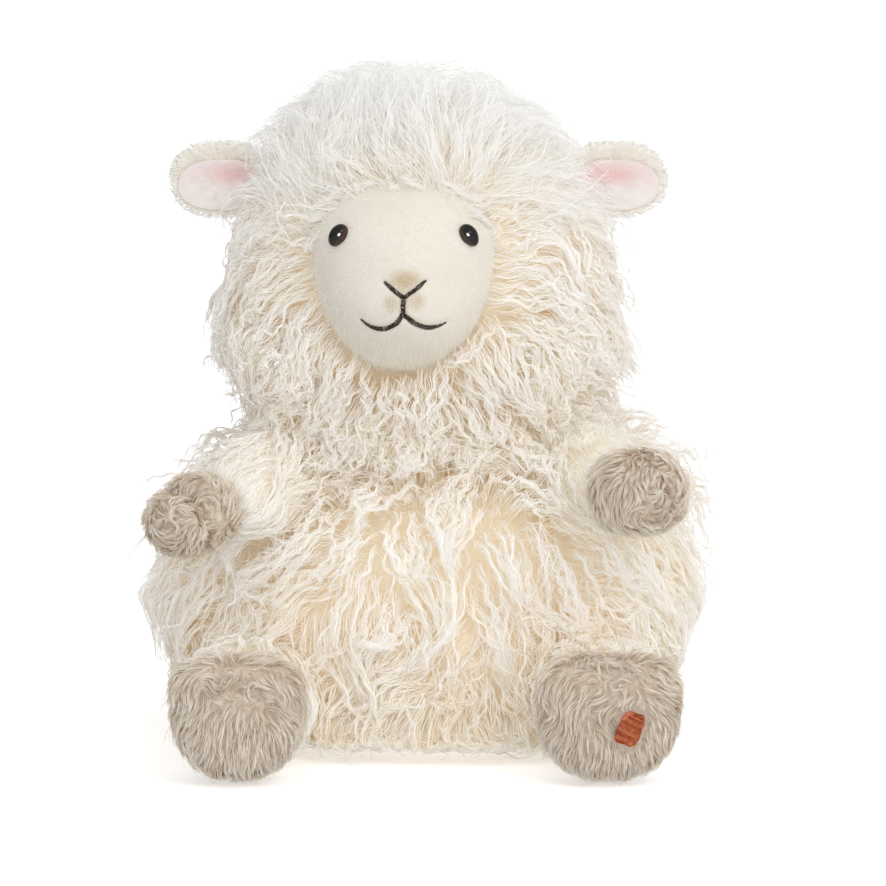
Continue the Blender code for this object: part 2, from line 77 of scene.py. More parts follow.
ARM_R, ARM_LENGTH, PAW_LENGTH, PAW_WIDE, PAW_HIGH = 0.0165, 0.0300, 0.0410, 0.0225, 0.0200
LEGS = {
    "right": ((-0.0780, -0.0620, 0.0290), (-0.06, -0.998, 0.0), 0.0305, 0.0285),
    "left": ((0.0770, -0.0625, 0.0295), (0.06, -0.998, 0.0), 0.0325, 0.0290),
}
LEG_R, LEG_LENGTH, FOOT_LENGTH = 0.0270, 0.0280, 0.0360
TAIL_AT, TAIL_AIM, TAIL_R, TAIL_LENGTH = (0.003, 0.1110, 0.0720), (0.0, 0.34, -0.94), 0.0110, 0.0330
SIGN = {"right": -1.0, "left": 1.0}


# ---------------------------------------------------------------- small helpers
def unit(v):
    return v / np.maximum(np.linalg.norm(v, axis=-1, keepdims=True), 1e-12)


def dot(a, b):
    return (a * b).sum(-1, keepdims=True)


def ease(low, high, x):
    t = np.clip((x - low) / (high - low), 0.0, 1.0)
    return t * t * (3 - 2 * t)


def drift(points, scale, seed, waves=7):
    """Three smooth random fields over space, each mostly between -1 and 1."""
    r = np.random.default_rng(seed)
    out = []
    for _ in range(3):
        k = unit(r.normal(size=(waves, 3))) * r.uniform(0.7, 1.5, (waves, 1)) * 2 * math.pi / scale
        out.append(np.sin(points @ k.T + r.uniform(0, 2 * math.pi, waves)).sum(-1) / math.sqrt(waves))
    return np.stack(out, -1)


def basis(aim, up=(0, 0, 1)):
    """Axes (side, top, along) with the third on a direction."""
    w = unit(np.array(aim, float))
    u = unit(np.cross(np.array(up, float), w))
    return np.stack([u, np.cross(w, u), w])


def curve(points, count):
    """Evenly spread points on the Catmull-Rom curve through some points."""
    p = np.array(points, float)
    p = np.vstack([2 * p[0] - p[1], p, 2 * p[-1] - p[-2]])
    found = []
    for i in range(1, len(p) - 2):
        for t in np.linspace(0, 1, 16, endpoint=False):
            a, b, c, d = p[i - 1], p[i], p[i + 1], p[i + 2]
            found.append(0.5 * (2 * b + (c - a) * t + (2 * a - 5 * b + 4 * c - d) * t * t + (3 * b - a - 3 * c + d) * t ** 3))
    found.append(p[-2])
    found = np.array(found)
    far = np.concatenate([[0], np.cumsum(np.linalg.norm(np.diff(found, axis=0), axis=1))])
    at = np.linspace(0, far[-1], count)
    return np.stack([np.interp(at, far, found[:, i]) for i in range(found.shape[1])], -1)


# ---------------------------------------------------------------- surfaces
class Skin:
    """A surface given by rings of points, closed at both ends, with smooth normals."""

    def __init__(self, rings, low=None, high=None):
        rings = np.asarray(rings, float)
        m, a, _ = rings.shape
        verts = rings.reshape(-1, 3)
        quads = [
            (j * a + i, j * a + (i + 1) % a, (j + 1) * a + (i + 1) % a, (j + 1) * a + i)
            for j in range(m - 1)
            for i in range(a)
        ]
        fans = []
        if low is not None:
            verts = np.vstack([verts, low])
            fans += [((i + 1) % a, i, len(verts) - 1) for i in range(a)]
        if high is not None:
            verts = np.vstack([verts, high])
            fans += [((m - 1) * a + i, (m - 1) * a + (i + 1) % a, len(verts) - 1) for i in range(a)]
        self.verts = verts
        self.faces = quads + fans
        self.finish()

    def finish(self):
        tris = []
        for f in self.faces:
            tris.append((f[0], f[1], f[2]))
            if len(f) == 4:
                tris.append((f[0], f[2], f[3]))
        self.tris = np.array(tris)
        a, b, c = (self.verts[self.tris[:, i]] for i in range(3))
        cross = np.cross(b - a, c - a)
        self.area = np.linalg.norm(cross, axis=1) / 2
        normals = np.zeros_like(self.verts)
        for i in range(3):
            np.add.at(normals, self.tris[:, i], cross)
        self.normals = unit(normals)
        self.tree = BVHTree.FromPolygons(self.verts.tolist(), self.tris.tolist())

    def nearest(self, points):
        find = self.tree.find_nearest
        hits = [find(p) for p in points.tolist()]
        where = np.array([h[0][:] for h in hits])
        tri = self.tris[np.array([h[2] for h in hits])]
        a, b, c = (self.verts[tri[:, i]] for i in range(3))
        total = np.maximum(np.linalg.norm(np.cross(b - a, c - a), axis=1), 1e-15)
        wa = np.linalg.norm(np.cross(b - where, c - where), axis=1) / total
        wb = np.linalg.norm(np.cross(c - where, a - where), axis=1) / total
        wc = np.clip(1 - wa - wb, 0, 1)
        n = sum(w[:, None] * self.normals[tri[:, i]] for i, w in enumerate((wa, wb, wc)))
        return where, unit(n)

    def scatter(self, spacing, rng, keep=None):
        """Points on the surface, no two nearer than a spacing, less those that keep refuses."""
        count = int(self.area.sum() / spacing ** 2 * 3.2) + 8
        tri = rng.choice(len(self.tris), count, p=self.area / self.area.sum())
        w = rng.random((count, 2))
        over = w.sum(1) > 1
        w[over] = 1 - w[over]
        a, b, c = (self.verts[self.tris[tri, i]] for i in range(3))
        p = a + (b - a) * w[:, :1] + (c - a) * w[:, 1:]
        if keep is not None:
            p = p[keep(p)]
        cells, taken = {}, []
        near = [(i, j, k) for i in (-1, 0, 1) for j in (-1, 0, 1) for k in (-1, 0, 1)]
        keys = np.floor(p / spacing).astype(int).tolist()
        listed = p.tolist()
        limit = spacing * spacing
        for index, (key, at) in enumerate(zip(keys, listed)):
            free = True
            for i, j, k in near:
                for other in cells.get((key[0] + i, key[1] + j, key[2] + k), ()):
                    if (other[0] - at[0]) ** 2 + (other[1] - at[1]) ** 2 + (other[2] - at[2]) ** 2 < limit:
                        free = False
                        break
                if not free:
                    break
            if free:
                cells.setdefault(tuple(key), []).append(at)
                taken.append(index)
        return p[taken]

    def object(self, name):
        mesh = bpy.data.meshes.new(name)
        mesh.from_pydata(self.verts.tolist(), [], self.faces)
        bm = bmesh.new()
        bm.from_mesh(mesh)
        bmesh.ops.recalc_face_normals(bm, faces=bm.faces)
        bm.to_mesh(mesh)
        bm.free()
        mesh.shade_smooth()
        made = bpy.data.objects.new(name, mesh)
        bpy.context.scene.collection.objects.link(made)
        return made


def globe(across, up, place, turn=0.0):
    """A closed skin: place(latitude 0 to 1, angle) gives its points."""
    share = np.linspace(0, 1, up + 1)[1:-1]
    angle = np.linspace(0, 2 * math.pi, across, endpoint=False) + turn
    s, a = np.meshgrid(share, angle, indexing="ij")
    rings = place(s, a)
    ends = place(np.array([[1e-6], [1 - 1e-6]]), np.zeros((2, 1)))
    return Skin(rings, low=ends[0, 0], high=ends[1, 0])


def ellipsoid(middle, semi, power=2.0):
    def place(s, a):
        lat = (s - 0.5) * math.pi
        n = np.stack([np.cos(lat) * np.cos(a), np.cos(lat) * np.sin(a), np.sin(lat)], -1)
        grow = (np.abs(n) ** power).sum(-1, keepdims=True) ** (-1.0 / power)
        return np.array(middle) + n * grow * np.array(semi)

    return place


# ---------------------------------------------------------------- materials
def tree_of(name):
    made = bpy.data.materials.new(name)
    made.use_nodes = True
    return made, made.node_tree, made.node_tree.nodes["Principled BSDF"]


def node(tree, kind, **values):
    made = tree.nodes.new(kind)
    for key, value in values.items():
        if hasattr(made, key):
            setattr(made, key, value)
        else:
            made.inputs[key.replace("_", " ")].default_value = value
    return made


def ramp(tree, source, stops):
    made = tree.nodes.new("ShaderNodeValToRGB")
    bands = made.color_ramp.elements
    while len(bands) > 1:
        bands.remove(bands[0])
    bands[0].position, bands[0].color = stops[0][0], (*stops[0][1], 1)
    for at, colour in stops[1:]:
        bands.new(at).color = (*colour, 1)
    tree.links.new(source, made.inputs["Fac"])
    return made.outputs["Color"]


def mixed(tree, blend, share, a, b):
    made = tree.nodes.new("ShaderNodeMix")
    made.data_type, made.blend_type = "RGBA", blend
    for socket, value in ((made.inputs[0], share), (made.inputs[6], a), (made.inputs[7], b)):
        if isinstance(value, bpy.types.NodeSocket):
            tree.links.new(value, socket)
        else:
            socket.default_value = value if isinstance(value, float) else (*value, 1)
    return made.outputs[2]


def place_of(tree):
    return node(tree, "ShaderNodeTexCoord").outputs["Object"]


def noise_of(tree, scale, detail=3.0, rough=0.5):
    made = tree.nodes.new("ShaderNodeTexNoise")
    made.inputs["Scale"].default_value = scale
    made.inputs["Detail"].default_value = detail
    made.inputs["Roughness"].default_value = rough
    tree.links.new(place_of(tree), made.inputs["Vector"])
    return made.outputs["Fac"]


def spread(tree, source, low, high, to_low=0.0, to_high=1.0):
    made = tree.nodes.new("ShaderNodeMapRange")
    made.interpolation_type = "SMOOTHSTEP"
    tree.links.new(source, made.inputs[0])
    for i, value in enumerate((low, high, to_low, to_high)):
        made.inputs[i + 1].default_value = value
    return made.outputs[0]


def strand_material(name, stops, rough=0.75, patches=None, cool=None, sheen=0.0, blotch=45.0):
    """Colour runs from root to tip, the darker warmer root end partly the fibre's own tone and partly painted shade
    deep in the pile; each strand and each patch of the pile differs a little.
    """
    made, tree, shader = tree_of(name)
    tone = node(tree, "ShaderNodeAttribute", attribute_name="tone").outputs["Fac"]
    shade = node(tree, "ShaderNodeAttribute", attribute_name="shade").outputs["Fac"]
    colour = ramp(tree, tone, stops)
    if patches is not None:
        colour = mixed(tree, "MULTIPLY", spread(tree, noise_of(tree, blotch, 2.0), 0.42, 0.66), colour, patches)
    if cool is not None:
        axis = node(tree, "ShaderNodeSeparateXYZ")
        tree.links.new(place_of(tree), axis.inputs[0])
        low, high, tint = cool
        colour = mixed(tree, "MIX", spread(tree, axis.outputs["Z"], low, high, 0.0, 0.6), colour, tint)
    level = tree.nodes.new("ShaderNodeCombineColor")
    for i in range(3):
        tree.links.new(shade, level.inputs[i])
    colour = mixed(tree, "MULTIPLY", 1.0, colour, level.outputs[0])
    tree.links.new(colour, shader.inputs["Base Color"])
    shader.inputs["Roughness"].default_value = rough
    shader.inputs["Specular IOR Level"].default_value = 0.25
    if sheen:
        shader.inputs["Sheen Weight"].default_value = sheen
        shader.inputs["Sheen Roughness"].default_value = 0.5
    return made


def cloth_material(name, a, b, scale, rough=0.9, bump=0.0, detail=4.0):
    """Two close colours mottled together, with a little relief where asked for."""
    made, tree, shader = tree_of(name)
    fac = noise_of(tree, scale, detail, 0.6)
    tree.links.new(ramp(tree, fac, ((0.35, a), (0.65, b))), shader.inputs["Base Color"])
    shader.inputs["Roughness"].default_value = rough
    shader.inputs["Specular IOR Level"].default_value = 0.25
    if bump:
        relief = tree.nodes.new("ShaderNodeBump")
        relief.inputs["Strength"].default_value = bump
        relief.inputs["Distance"].default_value = 0.0006
        tree.links.new(noise_of(tree, scale * 3, 3.0), relief.inputs["Height"])
        tree.links.new(relief.outputs[0], shader.inputs["Normal"])
    return made


# the root ends of these ramps are darker and warmer: partly the fibre's own tone, partly painted shade deep in the pile
WOOL = strand_material(
    "curly_wool_strands",
    ((0.0, (0.955, 0.903, 0.800)), (0.25, (0.972, 0.947, 0.895)), (0.50, (0.983, 0.972, 0.948)), (1.0, (0.988, 0.982, 0.968))),
    patches=(1.0, 0.992, 0.972),
)
CROWN = strand_material(
    "crown_wool_strands",
    ((0.0, (0.936, 0.914, 0.873)), (0.30, (0.952, 0.944, 0.925)), (1.0, (0.960, 0.956, 0.944))),
    patches=(1.0, 0.997, 0.990),
    cool=(0.262, 0.292, (0.956, 0.957, 0.951)),
)
MANE = strand_material(
    "mane_wool_strands",
    ((0.0, (0.938, 0.883, 0.785)), (0.25, (0.955, 0.928, 0.877)), (0.50, (0.966, 0.954, 0.929)), (1.0, (0.972, 0.964, 0.949))),
    patches=(1.0, 0.993, 0.975),
)
# the undercoat's tan is partly the backing's own colour and partly painted warm shade where it shows between the locks
UNDER = cloth_material("wool_undercoat", (0.90, 0.79, 0.61), (0.93, 0.845, 0.70), 160.0)
SLEEVE = strand_material(
    "sleeve_plush_strands", ((0.0, (0.965, 0.942, 0.893)), (0.5, (0.983, 0.973, 0.949)), (1.0, (0.987, 0.980, 0.961)))
)
SLEEVE_BASE = cloth_material("sleeve_plush_base", (0.92, 0.88, 0.80), (0.945, 0.915, 0.845), 300.0)
HOOF = strand_material(
    "hoof_plush_strands",
    ((0.0, (0.56, 0.44, 0.31)), (0.35, (0.885, 0.805, 0.688)), (1.0, (0.966, 0.937, 0.877))),
    patches=(0.91, 0.870, 0.82),
    blotch=75.0,
)
HOOF_BASE = cloth_material("hoof_plush_base", (0.58, 0.48, 0.39), (0.70, 0.60, 0.50), 260.0)
EAR_WHITE = strand_material(
    "ear_plush_strands", ((0.0, (0.90, 0.87, 0.81)), (0.5, (0.925, 0.912, 0.882)), (1.0, (0.935, 0.926, 0.903)))
)


def pink_material():
    """Pale pink pile, with painted shade as deeper pink along the fold near the head."""
    made, tree, shader = tree_of("ear_lining_pile")
    axis = node(tree, "ShaderNodeSeparateXYZ")
    tree.links.new(place_of(tree), axis.inputs[0])
    middle = node(tree, "ShaderNodeMath", operation="SUBTRACT")
    tree.links.new(axis.outputs["Z"], middle.inputs[0])
    middle.inputs[1].default_value = 0.2585
    far = node(tree, "ShaderNodeMath", operation="ABSOLUTE")
    tree.links.new(middle.outputs[0], far.inputs[0])
    # painted shade: deeper pink along the ear's hollow near the head
    fold = spread(tree, far.outputs[0], 0.0, 0.0085, 1.0, 0.0)
    side = node(tree, "ShaderNodeMath", operation="ABSOLUTE")
    tree.links.new(axis.outputs["X"], side.inputs[0])
    inner = spread(tree, side.outputs[0], 0.085, 0.106, 1.0, 0.15)
    fold_shade = node(tree, "ShaderNodeMath", operation="MULTIPLY")
    tree.links.new(fold, fold_shade.inputs[0])
    tree.links.new(inner, fold_shade.inputs[1])
    mottled = ramp(tree, noise_of(tree, 220.0), ((0.35, (0.80, 0.730, 0.712)), (0.65, (0.84, 0.785, 0.768))))
    colour = mixed(tree, "MIX", fold_shade.outputs[0], mottled, (0.79, 0.53, 0.52))
    tree.links.new(colour, shader.inputs["Base Color"])
    shader.inputs["Roughness"].default_value = 0.9
    shader.inputs["Specular IOR Level"].default_value = 0.2
    return made


PINK = pink_material()


def velour_material():
    """Cream velour, airbrushed tan between the arms of the nose and beside its stem."""
    made, tree, shader = tree_of("face_velour_pile")
    place = place_of(tree)

    def spot(x, z, wide, high, strength):
        shift = node(tree, "ShaderNodeVectorMath", operation="SUBTRACT")
        tree.links.new(place, shift.inputs[0])
        shift.inputs[1].default_value = (FACE_AT[0] + x, 0.0, FACE_AT[2] + z)
        scale = node(tree, "ShaderNodeVectorMath", operation="MULTIPLY")
        tree.links.new(shift.outputs[0], scale.inputs[0])
        scale.inputs[1].default_value = (1 / wide, 0.0, 1 / high)
        long = node(tree, "ShaderNodeVectorMath", operation="LENGTH")
        tree.links.new(scale.outputs[0], long.inputs[0])
        return spread(tree, long.outputs["Value"], 0.15, 1.0, strength, 0.0)

    colour = ramp(tree, noise_of(tree, 30.0, 2.0), ((0.35, (0.795, 0.750, 0.664)), (0.65, (0.830, 0.785, 0.703))))
    fine = ramp(tree, noise_of(tree, 900.0, 2.0), ((0.3, (0.955, 0.95, 0.94)), (0.7, (1.0, 1.0, 1.0))))
    colour = mixed(tree, "MULTIPLY", 1.0, colour, fine)
    for x, z, wide, high, strength in (
        (0.0008, 0.0022, 0.0105, 0.0066, 0.80),
        (-0.0052, -0.0078, 0.0050, 0.0060, 0.55),
        (0.0058, -0.0068, 0.0057, 0.0060, 0.55),
        (0.0002, -0.0056, 0.0042, 0.0100, 0.35),
    ):
        colour = mixed(tree, "MIX", spot(x, z, wide, high, strength), colour, (0.50, 0.37, 0.20))
    tree.links.new(colour, shader.inputs["Base Color"])
    shader.inputs["Roughness"].default_value = 0.95
    shader.inputs["Specular IOR Level"].default_value = 0.15
    shader.inputs["Sheen Weight"].default_value = 0.15
    shader.inputs["Sheen Roughness"].default_value = 0.6
    relief = tree.nodes.new("ShaderNodeBump")
    relief.inputs["Strength"].default_value = 0.25
    relief.inputs["Distance"].default_value = 0.0004
    tree.links.new(noise_of(tree, 1100.0, 2.0), relief.inputs["Height"])
    tree.links.new(relief.outputs[0], shader.inputs["Normal"])
    return made


VELOUR = velour_material()
NAP = strand_material("face_velour_nap", ((0.0, (0.88, 0.845, 0.775)), (1.0, (0.945, 0.920, 0.872))), patches=(0.99, 0.985, 0.97))
THREAD = cloth_material("dark_stitching", (0.020, 0.010, 0.007), (0.070, 0.033, 0.022), 1500.0, 0.55)


def eye_material():
    """Black plastic, dark brown towards the rim, with a clear glossy coat."""
    made, tree, shader = tree_of("eye_gloss")
    edge = node(tree, "ShaderNodeAttribute", attribute_name="tone").outputs["Fac"]
    colour = ramp(tree, edge, ((0.0, (0.003, 0.0025, 0.0025)), (0.80, (0.004, 0.003, 0.0025)), (0.95, (0.030, 0.015, 0.009)), (1.0, (0.06, 0.032, 0.020))))
    tree.links.new(colour, shader.inputs["Base Color"])
    shader.inputs["Roughness"].default_value = 0.05
    shader.inputs["Specular IOR Level"].default_value = 0.28
    return made


EYE = eye_material()


def badge_material():
    """Rust satin stitch: rows of thread across an oval."""
    made, tree, shader = tree_of("badge_stitching")
    speckle = noise_of(tree, 620.0, 3.0, 0.7)
    colour = ramp(tree, speckle, ((0.30, (0.22, 0.035, 0.010)), (0.50, (0.42, 0.088, 0.022)), (0.72, (0.54, 0.165, 0.055))))
    tree.links.new(colour, shader.inputs["Base Color"])
    shader.inputs["Roughness"].default_value = 0.6
    shader.inputs["Specular IOR Level"].default_value = 0.15
    return made


RUST = badge_material()

INSIDE = {
    "polyester_filling": cloth_material("filling", (0.86, 0.86, 0.84), (0.94, 0.94, 0.93), 220.0),
    "bag_cloth": cloth_material("bag_calico", (0.74, 0.70, 0.62), (0.82, 0.79, 0.72), 700.0),
    "pellets": cloth_material("pellet_plastic", (0.62, 0.65, 0.67), (0.80, 0.82, 0.83), 520.0, 0.5),
    "washer_plastic": cloth_material("washer_nylon", (0.78, 0.78, 0.75), (0.84, 0.84, 0.82), 300.0, 0.4),
    "sewing_thread": cloth_material("seam_thread", (0.74, 0.68, 0.58), (0.88, 0.83, 0.74), 1500.0, 0.7),
}
for name, piece in nodes.items():
    if "filling" in name or "stuffing" in name or name == "neck_plug":
        look = INSIDE["polyester_filling"]
    elif name == "pellet_bag":
        look = INSIDE["bag_cloth"]
    elif name == "pellet_fill":
        look = INSIDE["pellets"]
    elif "washer" in name:
        look = INSIDE["washer_plastic"]
    elif "seam" in name:
        look = INSIDE["sewing_thread"]
    else:
        continue
    piece.data.materials.clear()
    piece.data.materials.append(look)


# ---------------------------------------------------------------- growing the pile
def capsule(a, b, radius):
    a, b = np.array(a, float), np.array(b, float)
    return ("capsule", a, b, radius)


def egg(middle, semi):
    return ("egg", np.array(middle, float), np.array(semi, float), None)


def clear_of(points, obstacles, soft=0.0):
    """Points pushed out of the obstacles they are in."""
    out = points.copy()
    for kind, a, b, radius in obstacles:
        if kind == "capsule":
            ab = b - a
            t = np.clip(((out - a) @ ab) / (ab @ ab), 0, 1)
            axis = a + t[..., None] * ab
            away = out - axis
            far = np.linalg.norm(away, axis=-1, keepdims=True)
            out = np.where(far < radius, axis + away / np.maximum(far, 1e-6) * radius, out)
        else:
            away = (out - a) / b
            far = np.linalg.norm(away, axis=-1, keepdims=True)
            out = np.where(far < 1, a + away / np.maximum(far, 1e-6) * b, out)
    return out


def inside(points, obstacles, share=0.9):
    hit = np.zeros(len(points), bool)
    for kind, a, b, radius in obstacles:
        if kind == "capsule":
            ab = b - a
            t = np.clip(((points - a) @ ab) / (ab @ ab), 0, 1)
            hit |= np.linalg.norm(points - (a + t[:, None] * ab), axis=1) < radius * share
        else:
            hit |= np.linalg.norm((points - a) / b, axis=1) < share
    return hit


def locks(skin, roots, length, height, comb, rise=0.22, flick=0.0, lift=0.0, steps=11, obstacles=(), floor=0.0009):
    """Centre lines of locks of pile. Each walks over the skin along comb(place, normal, share),
    rises to its height, and may flick away from the skin towards its tip."""
    count = len(roots)
    length, height, flick, lift = (np.broadcast_to(np.asarray(x, float), (count,)) for x in (length, height, flick, lift))
    q, n = skin.nearest(roots)
    step = length / (steps - 1)
    path, tops = np.empty((count, steps, 3)), np.empty((count, steps, 3))

    def level(t):
        return height * (1 - math.exp(-t / rise)) / (1 - math.exp(-1 / rise)) + flick * t ** 3

    for k in range(steps):
        t = k / (steps - 1)
        path[:, k] = q + n * level(t)[:, None]
        path[:, k, 2] += lift * t ** 1.6
        tops[:, k] = n
        if k == steps - 1:
            break
        up = level(t + 1 / (steps - 1)) - level(t)
        along = np.sqrt(np.maximum(step ** 2 - up ** 2, (0.25 * step) ** 2))
        way = comb(q, n, t)
        way = unit(way - dot(way, n) * n)
        q, n = skin.nearest(q + way * along[:, None])
    if obstacles:
        path = clear_of(path, obstacles)
        for _ in range(2):
            path[:, 1:-1] = path[:, 1:-1] * 0.5 + (path[:, :-2] + path[:, 2:]) * 0.25
        path[:, 1:] = clear_of(path[:, 1:], obstacles)
    path[..., 2] = np.maximum(path[..., 2], floor)
    return path, tops


def tufts(roots, spacing, rng):
    """For each lock the lock that leads its tuft, and the tuft's number."""
    shifted = roots + drift(roots, 0.020, 905) * 0.0022
    leaders = []
    for i in rng.permutation(len(roots)).tolist():
        if not leaders or (((shifted[leaders] - shifted[i]) ** 2).sum(1)).min() > spacing ** 2:
            leaders.append(i)
    leaders = np.array(leaders)
    far = ((shifted[:, None] - shifted[leaders][None]) ** 2).sum(-1)
    owner = far.argmin(1)
    return leaders[owner], owner


def gathered(path, leader, pull, power=1.35):
    """Centre lines drawn towards their tuft's leader, the more the nearer the tip."""
    share = np.linspace(0, 1, path.shape[1])[None, :, None] ** power
    pull = np.broadcast_to(np.asarray(pull, float), (len(path),))[:, None, None]
    return path + (path[leader] - path) * share * pull


def strands(path, tops, per, rings, rng, root=0.0030, tip=0.0005, gather=0.55, amp=0.0012, wave=0.0110,
            loose=0.07, jitter=0.35, short=0.22, floor=0.0007, group=None, apart=0.45):
    """Strands of each lock: they close up towards its tip and wave together round its centre line,
    and the locks of one group wave nearly alike."""
    count, steps, _ = path.shape
    group = np.arange(count) if group is None else group
    groups = group.max() + 1
    m = count * per
    lock = np.repeat(np.arange(count), per)
    amp, wave, root = (np.broadcast_to(np.asarray(x, float), (count,))[lock] for x in (amp, wave, root))
    share = np.linspace(0, 1, rings)[None, :] * (1 - short * rng.random((m, 1)) ** 1.5)
    at = share * (steps - 1)
    low = np.minimum(at.astype(int), steps - 2)
    f = (at - low)[..., None]
    centre = path[lock[:, None], low] * (1 - f) + path[lock[:, None], low + 1] * f
    top = unit(tops[lock[:, None], low] * (1 - f) + tops[lock[:, None], low + 1] * f)
    way = unit(np.gradient(path, axis=1))
    way = unit(way[lock[:, None], low] * (1 - f) + way[lock[:, None], low + 1] * f)
    side = unit(np.cross(way, top))
    top = np.cross(side, way)
    reach = np.linalg.norm(np.diff(path, axis=1), axis=-1).sum(1)[lock][:, None]
    wild = (rng.random((m, 1)) < loose).astype(float)
    angle = rng.uniform(0, 2 * math.pi, (m, 1))
    away = np.sqrt(rng.random((m, 1)))
    close = 1 - np.clip(share / gather, 0, 1)
    close = close * close * (3 - 2 * close)
    radius = (tip * (1 + 4.5 * wild) + (root[:, None] - tip) * close) * away
    phase = (rng.uniform(0, 2 * math.pi, groups)[group] + rng.normal(0, apart, count))[lock][:, None]
    phase = phase + rng.normal(0, jitter, (m, 1)) + wild * rng.normal(0, 1.5, (m, 1))
    turn = rng.choice([-1.0, 1.0], groups)[group][lock][:, None]
    swing = amp[:, None] * (0.30 + 0.70 * np.clip(share * 1.7, 0, 1)) * (1 + 0.5 * wild) * rng.uniform(0.75, 1.2, (m, 1))
    lean = rng.uniform(0.35, 0.9, groups)[group][lock][:, None]
    phi = phase + turn * 2 * math.pi * share * reach / wave[:, None] * (1 + 0.25 * (share - 0.5))
    own = rng.uniform(0, 2 * math.pi, (m, 1)) + 2 * math.pi * share * reach / (wave[:, None] * 0.45)
    across = radius * np.cos(angle) + swing * np.cos(phi) + amp[:, None] * 0.10 * np.cos(own) * share
    above = radius * np.sin(angle) + swing * lean * np.sin(phi)
    stray = wild * (share ** 1.5) * rng.normal(0, 0.0022, (m, 1))
    p = centre + side * (across + stray)[..., None] + top * (above + np.abs(stray) * 0.6)[..., None]
    roam = np.clip(share * 1.6, 0, 1)[..., None] * amp[:, None, None]
    p = p + drift(p.reshape(-1, 3), 0.021, 901).reshape(p.shape) * roam * 0.9
    p = p + drift(p.reshape(-1, 3), 0.0085, 902).reshape(p.shape) * roam * 0.35
    p[..., 2] = np.maximum(p[..., 2], floor)
    return p, lock, share


def pile_object(name, p, radius, tone, shade):
    """One mesh of closed three-sided tubes, one for each strand, each with a cell of the map."""
    n, k, _ = p.shape
    way = unit(np.gradient(p, axis=1))
    u = np.empty_like(p)
    ref = unit(np.random.default_rng(len(p) + k).normal(size=(n, 3)))
    for j in range(k):
        ref = unit(ref - dot(ref, way[:, j]) * way[:, j])
        u[:, j] = ref
    v = np.cross(way, u)
    per = 3 * (k - 1) + 1
    co = np.empty((n, per, 3), np.float32)
    for a in range(3):
        c, s = math.cos(a * 2 * math.pi / 3), math.sin(a * 2 * math.pi / 3)
        ring = p + (u * c + v * s) * radius[..., None]
        co[:, a : 3 * (k - 1) : 3] = ring[:, :-1]
    co[:, -1] = p[:, -1]
    co[..., 2] = np.maximum(co[..., 2], 0.0002)
    loops, sizes, uv = [], [], []
    for j in range(k - 2):
        for a in range(3):
            b = (a + 1) % 3
            loops += [3 * j + a, 3 * j + b, 3 * j + 3 + b, 3 * j + 3 + a]
            uv += [(a / 3, j / (k - 1)), ((a + 1) / 3, j / (k - 1)), ((a + 1) / 3, (j + 1) / (k - 1)), (a / 3, (j + 1) / (k - 1))]
            sizes.append(4)
    j = k - 2
    for a in range(3):
        b = (a + 1) % 3
        loops += [3 * j + a, 3 * j + b, per - 1]
        uv += [(a / 3, j / (k - 1)), ((a + 1) / 3, j / (k - 1)), ((a + 0.5) / 3, 1.0)]
        sizes.append(3)
    loops += [0, 2, 1]
    uv += [(0.05, 0.0), (0.95, 0.0), (0.5, 0.06)]
    sizes.append(3)
    loops, uv, sizes = np.array(loops), np.array(uv), np.array(sizes)
    mesh = bpy.data.meshes.new(name)
    mesh.vertices.add(n * per)
    mesh.vertices.foreach_set("co", co.ravel())
    index = (loops[None] + (np.arange(n) * per)[:, None]).astype(np.int32).ravel()
    mesh.loops.add(len(index))
    mesh.loops.foreach_set("vertex_index", index)
    starts = np.concatenate([[0], np.cumsum(sizes)[:-1]])
    starts = (starts[None] + (np.arange(n) * len(loops))[:, None]).astype(np.int32).ravel()
    mesh.polygons.add(len(starts))
    mesh.polygons.foreach_set("loop_start", starts)
    mesh.polygons.foreach_set("use_smooth", np.zeros(len(starts), bool))
    grid = int(math.ceil(math.sqrt(n)))
    cell = np.stack([np.arange(n) % grid, np.arange(n) // grid], -1)[:, None, :]
    layer = mesh.uv_layers.new(name="OFBake")
    coords = (cell + 0.15 + uv[None] * 0.70) / grid
    layer.data.foreach_set("uv", coords.astype(np.float32).ravel())
    for label, value in (("tone", tone), ("shade", shade)):
        value = np.broadcast_to(value, (n, k))
        filled = np.empty((n, per), np.float32)
        for a in range(3):
            filled[:, a : 3 * (k - 1) : 3] = value[:, :-1]
        filled[:, -1] = value[:, -1]
        attribute = mesh.attributes.new(label, "FLOAT", "POINT")
        attribute.data.foreach_set("value", filled.ravel())
    mesh.update(calc_edges=True)
    made = bpy.data.objects.new(name, mesh)
    bpy.context.scene.collection.objects.link(made)
    return made


LIMIT = 190000
totals = {}


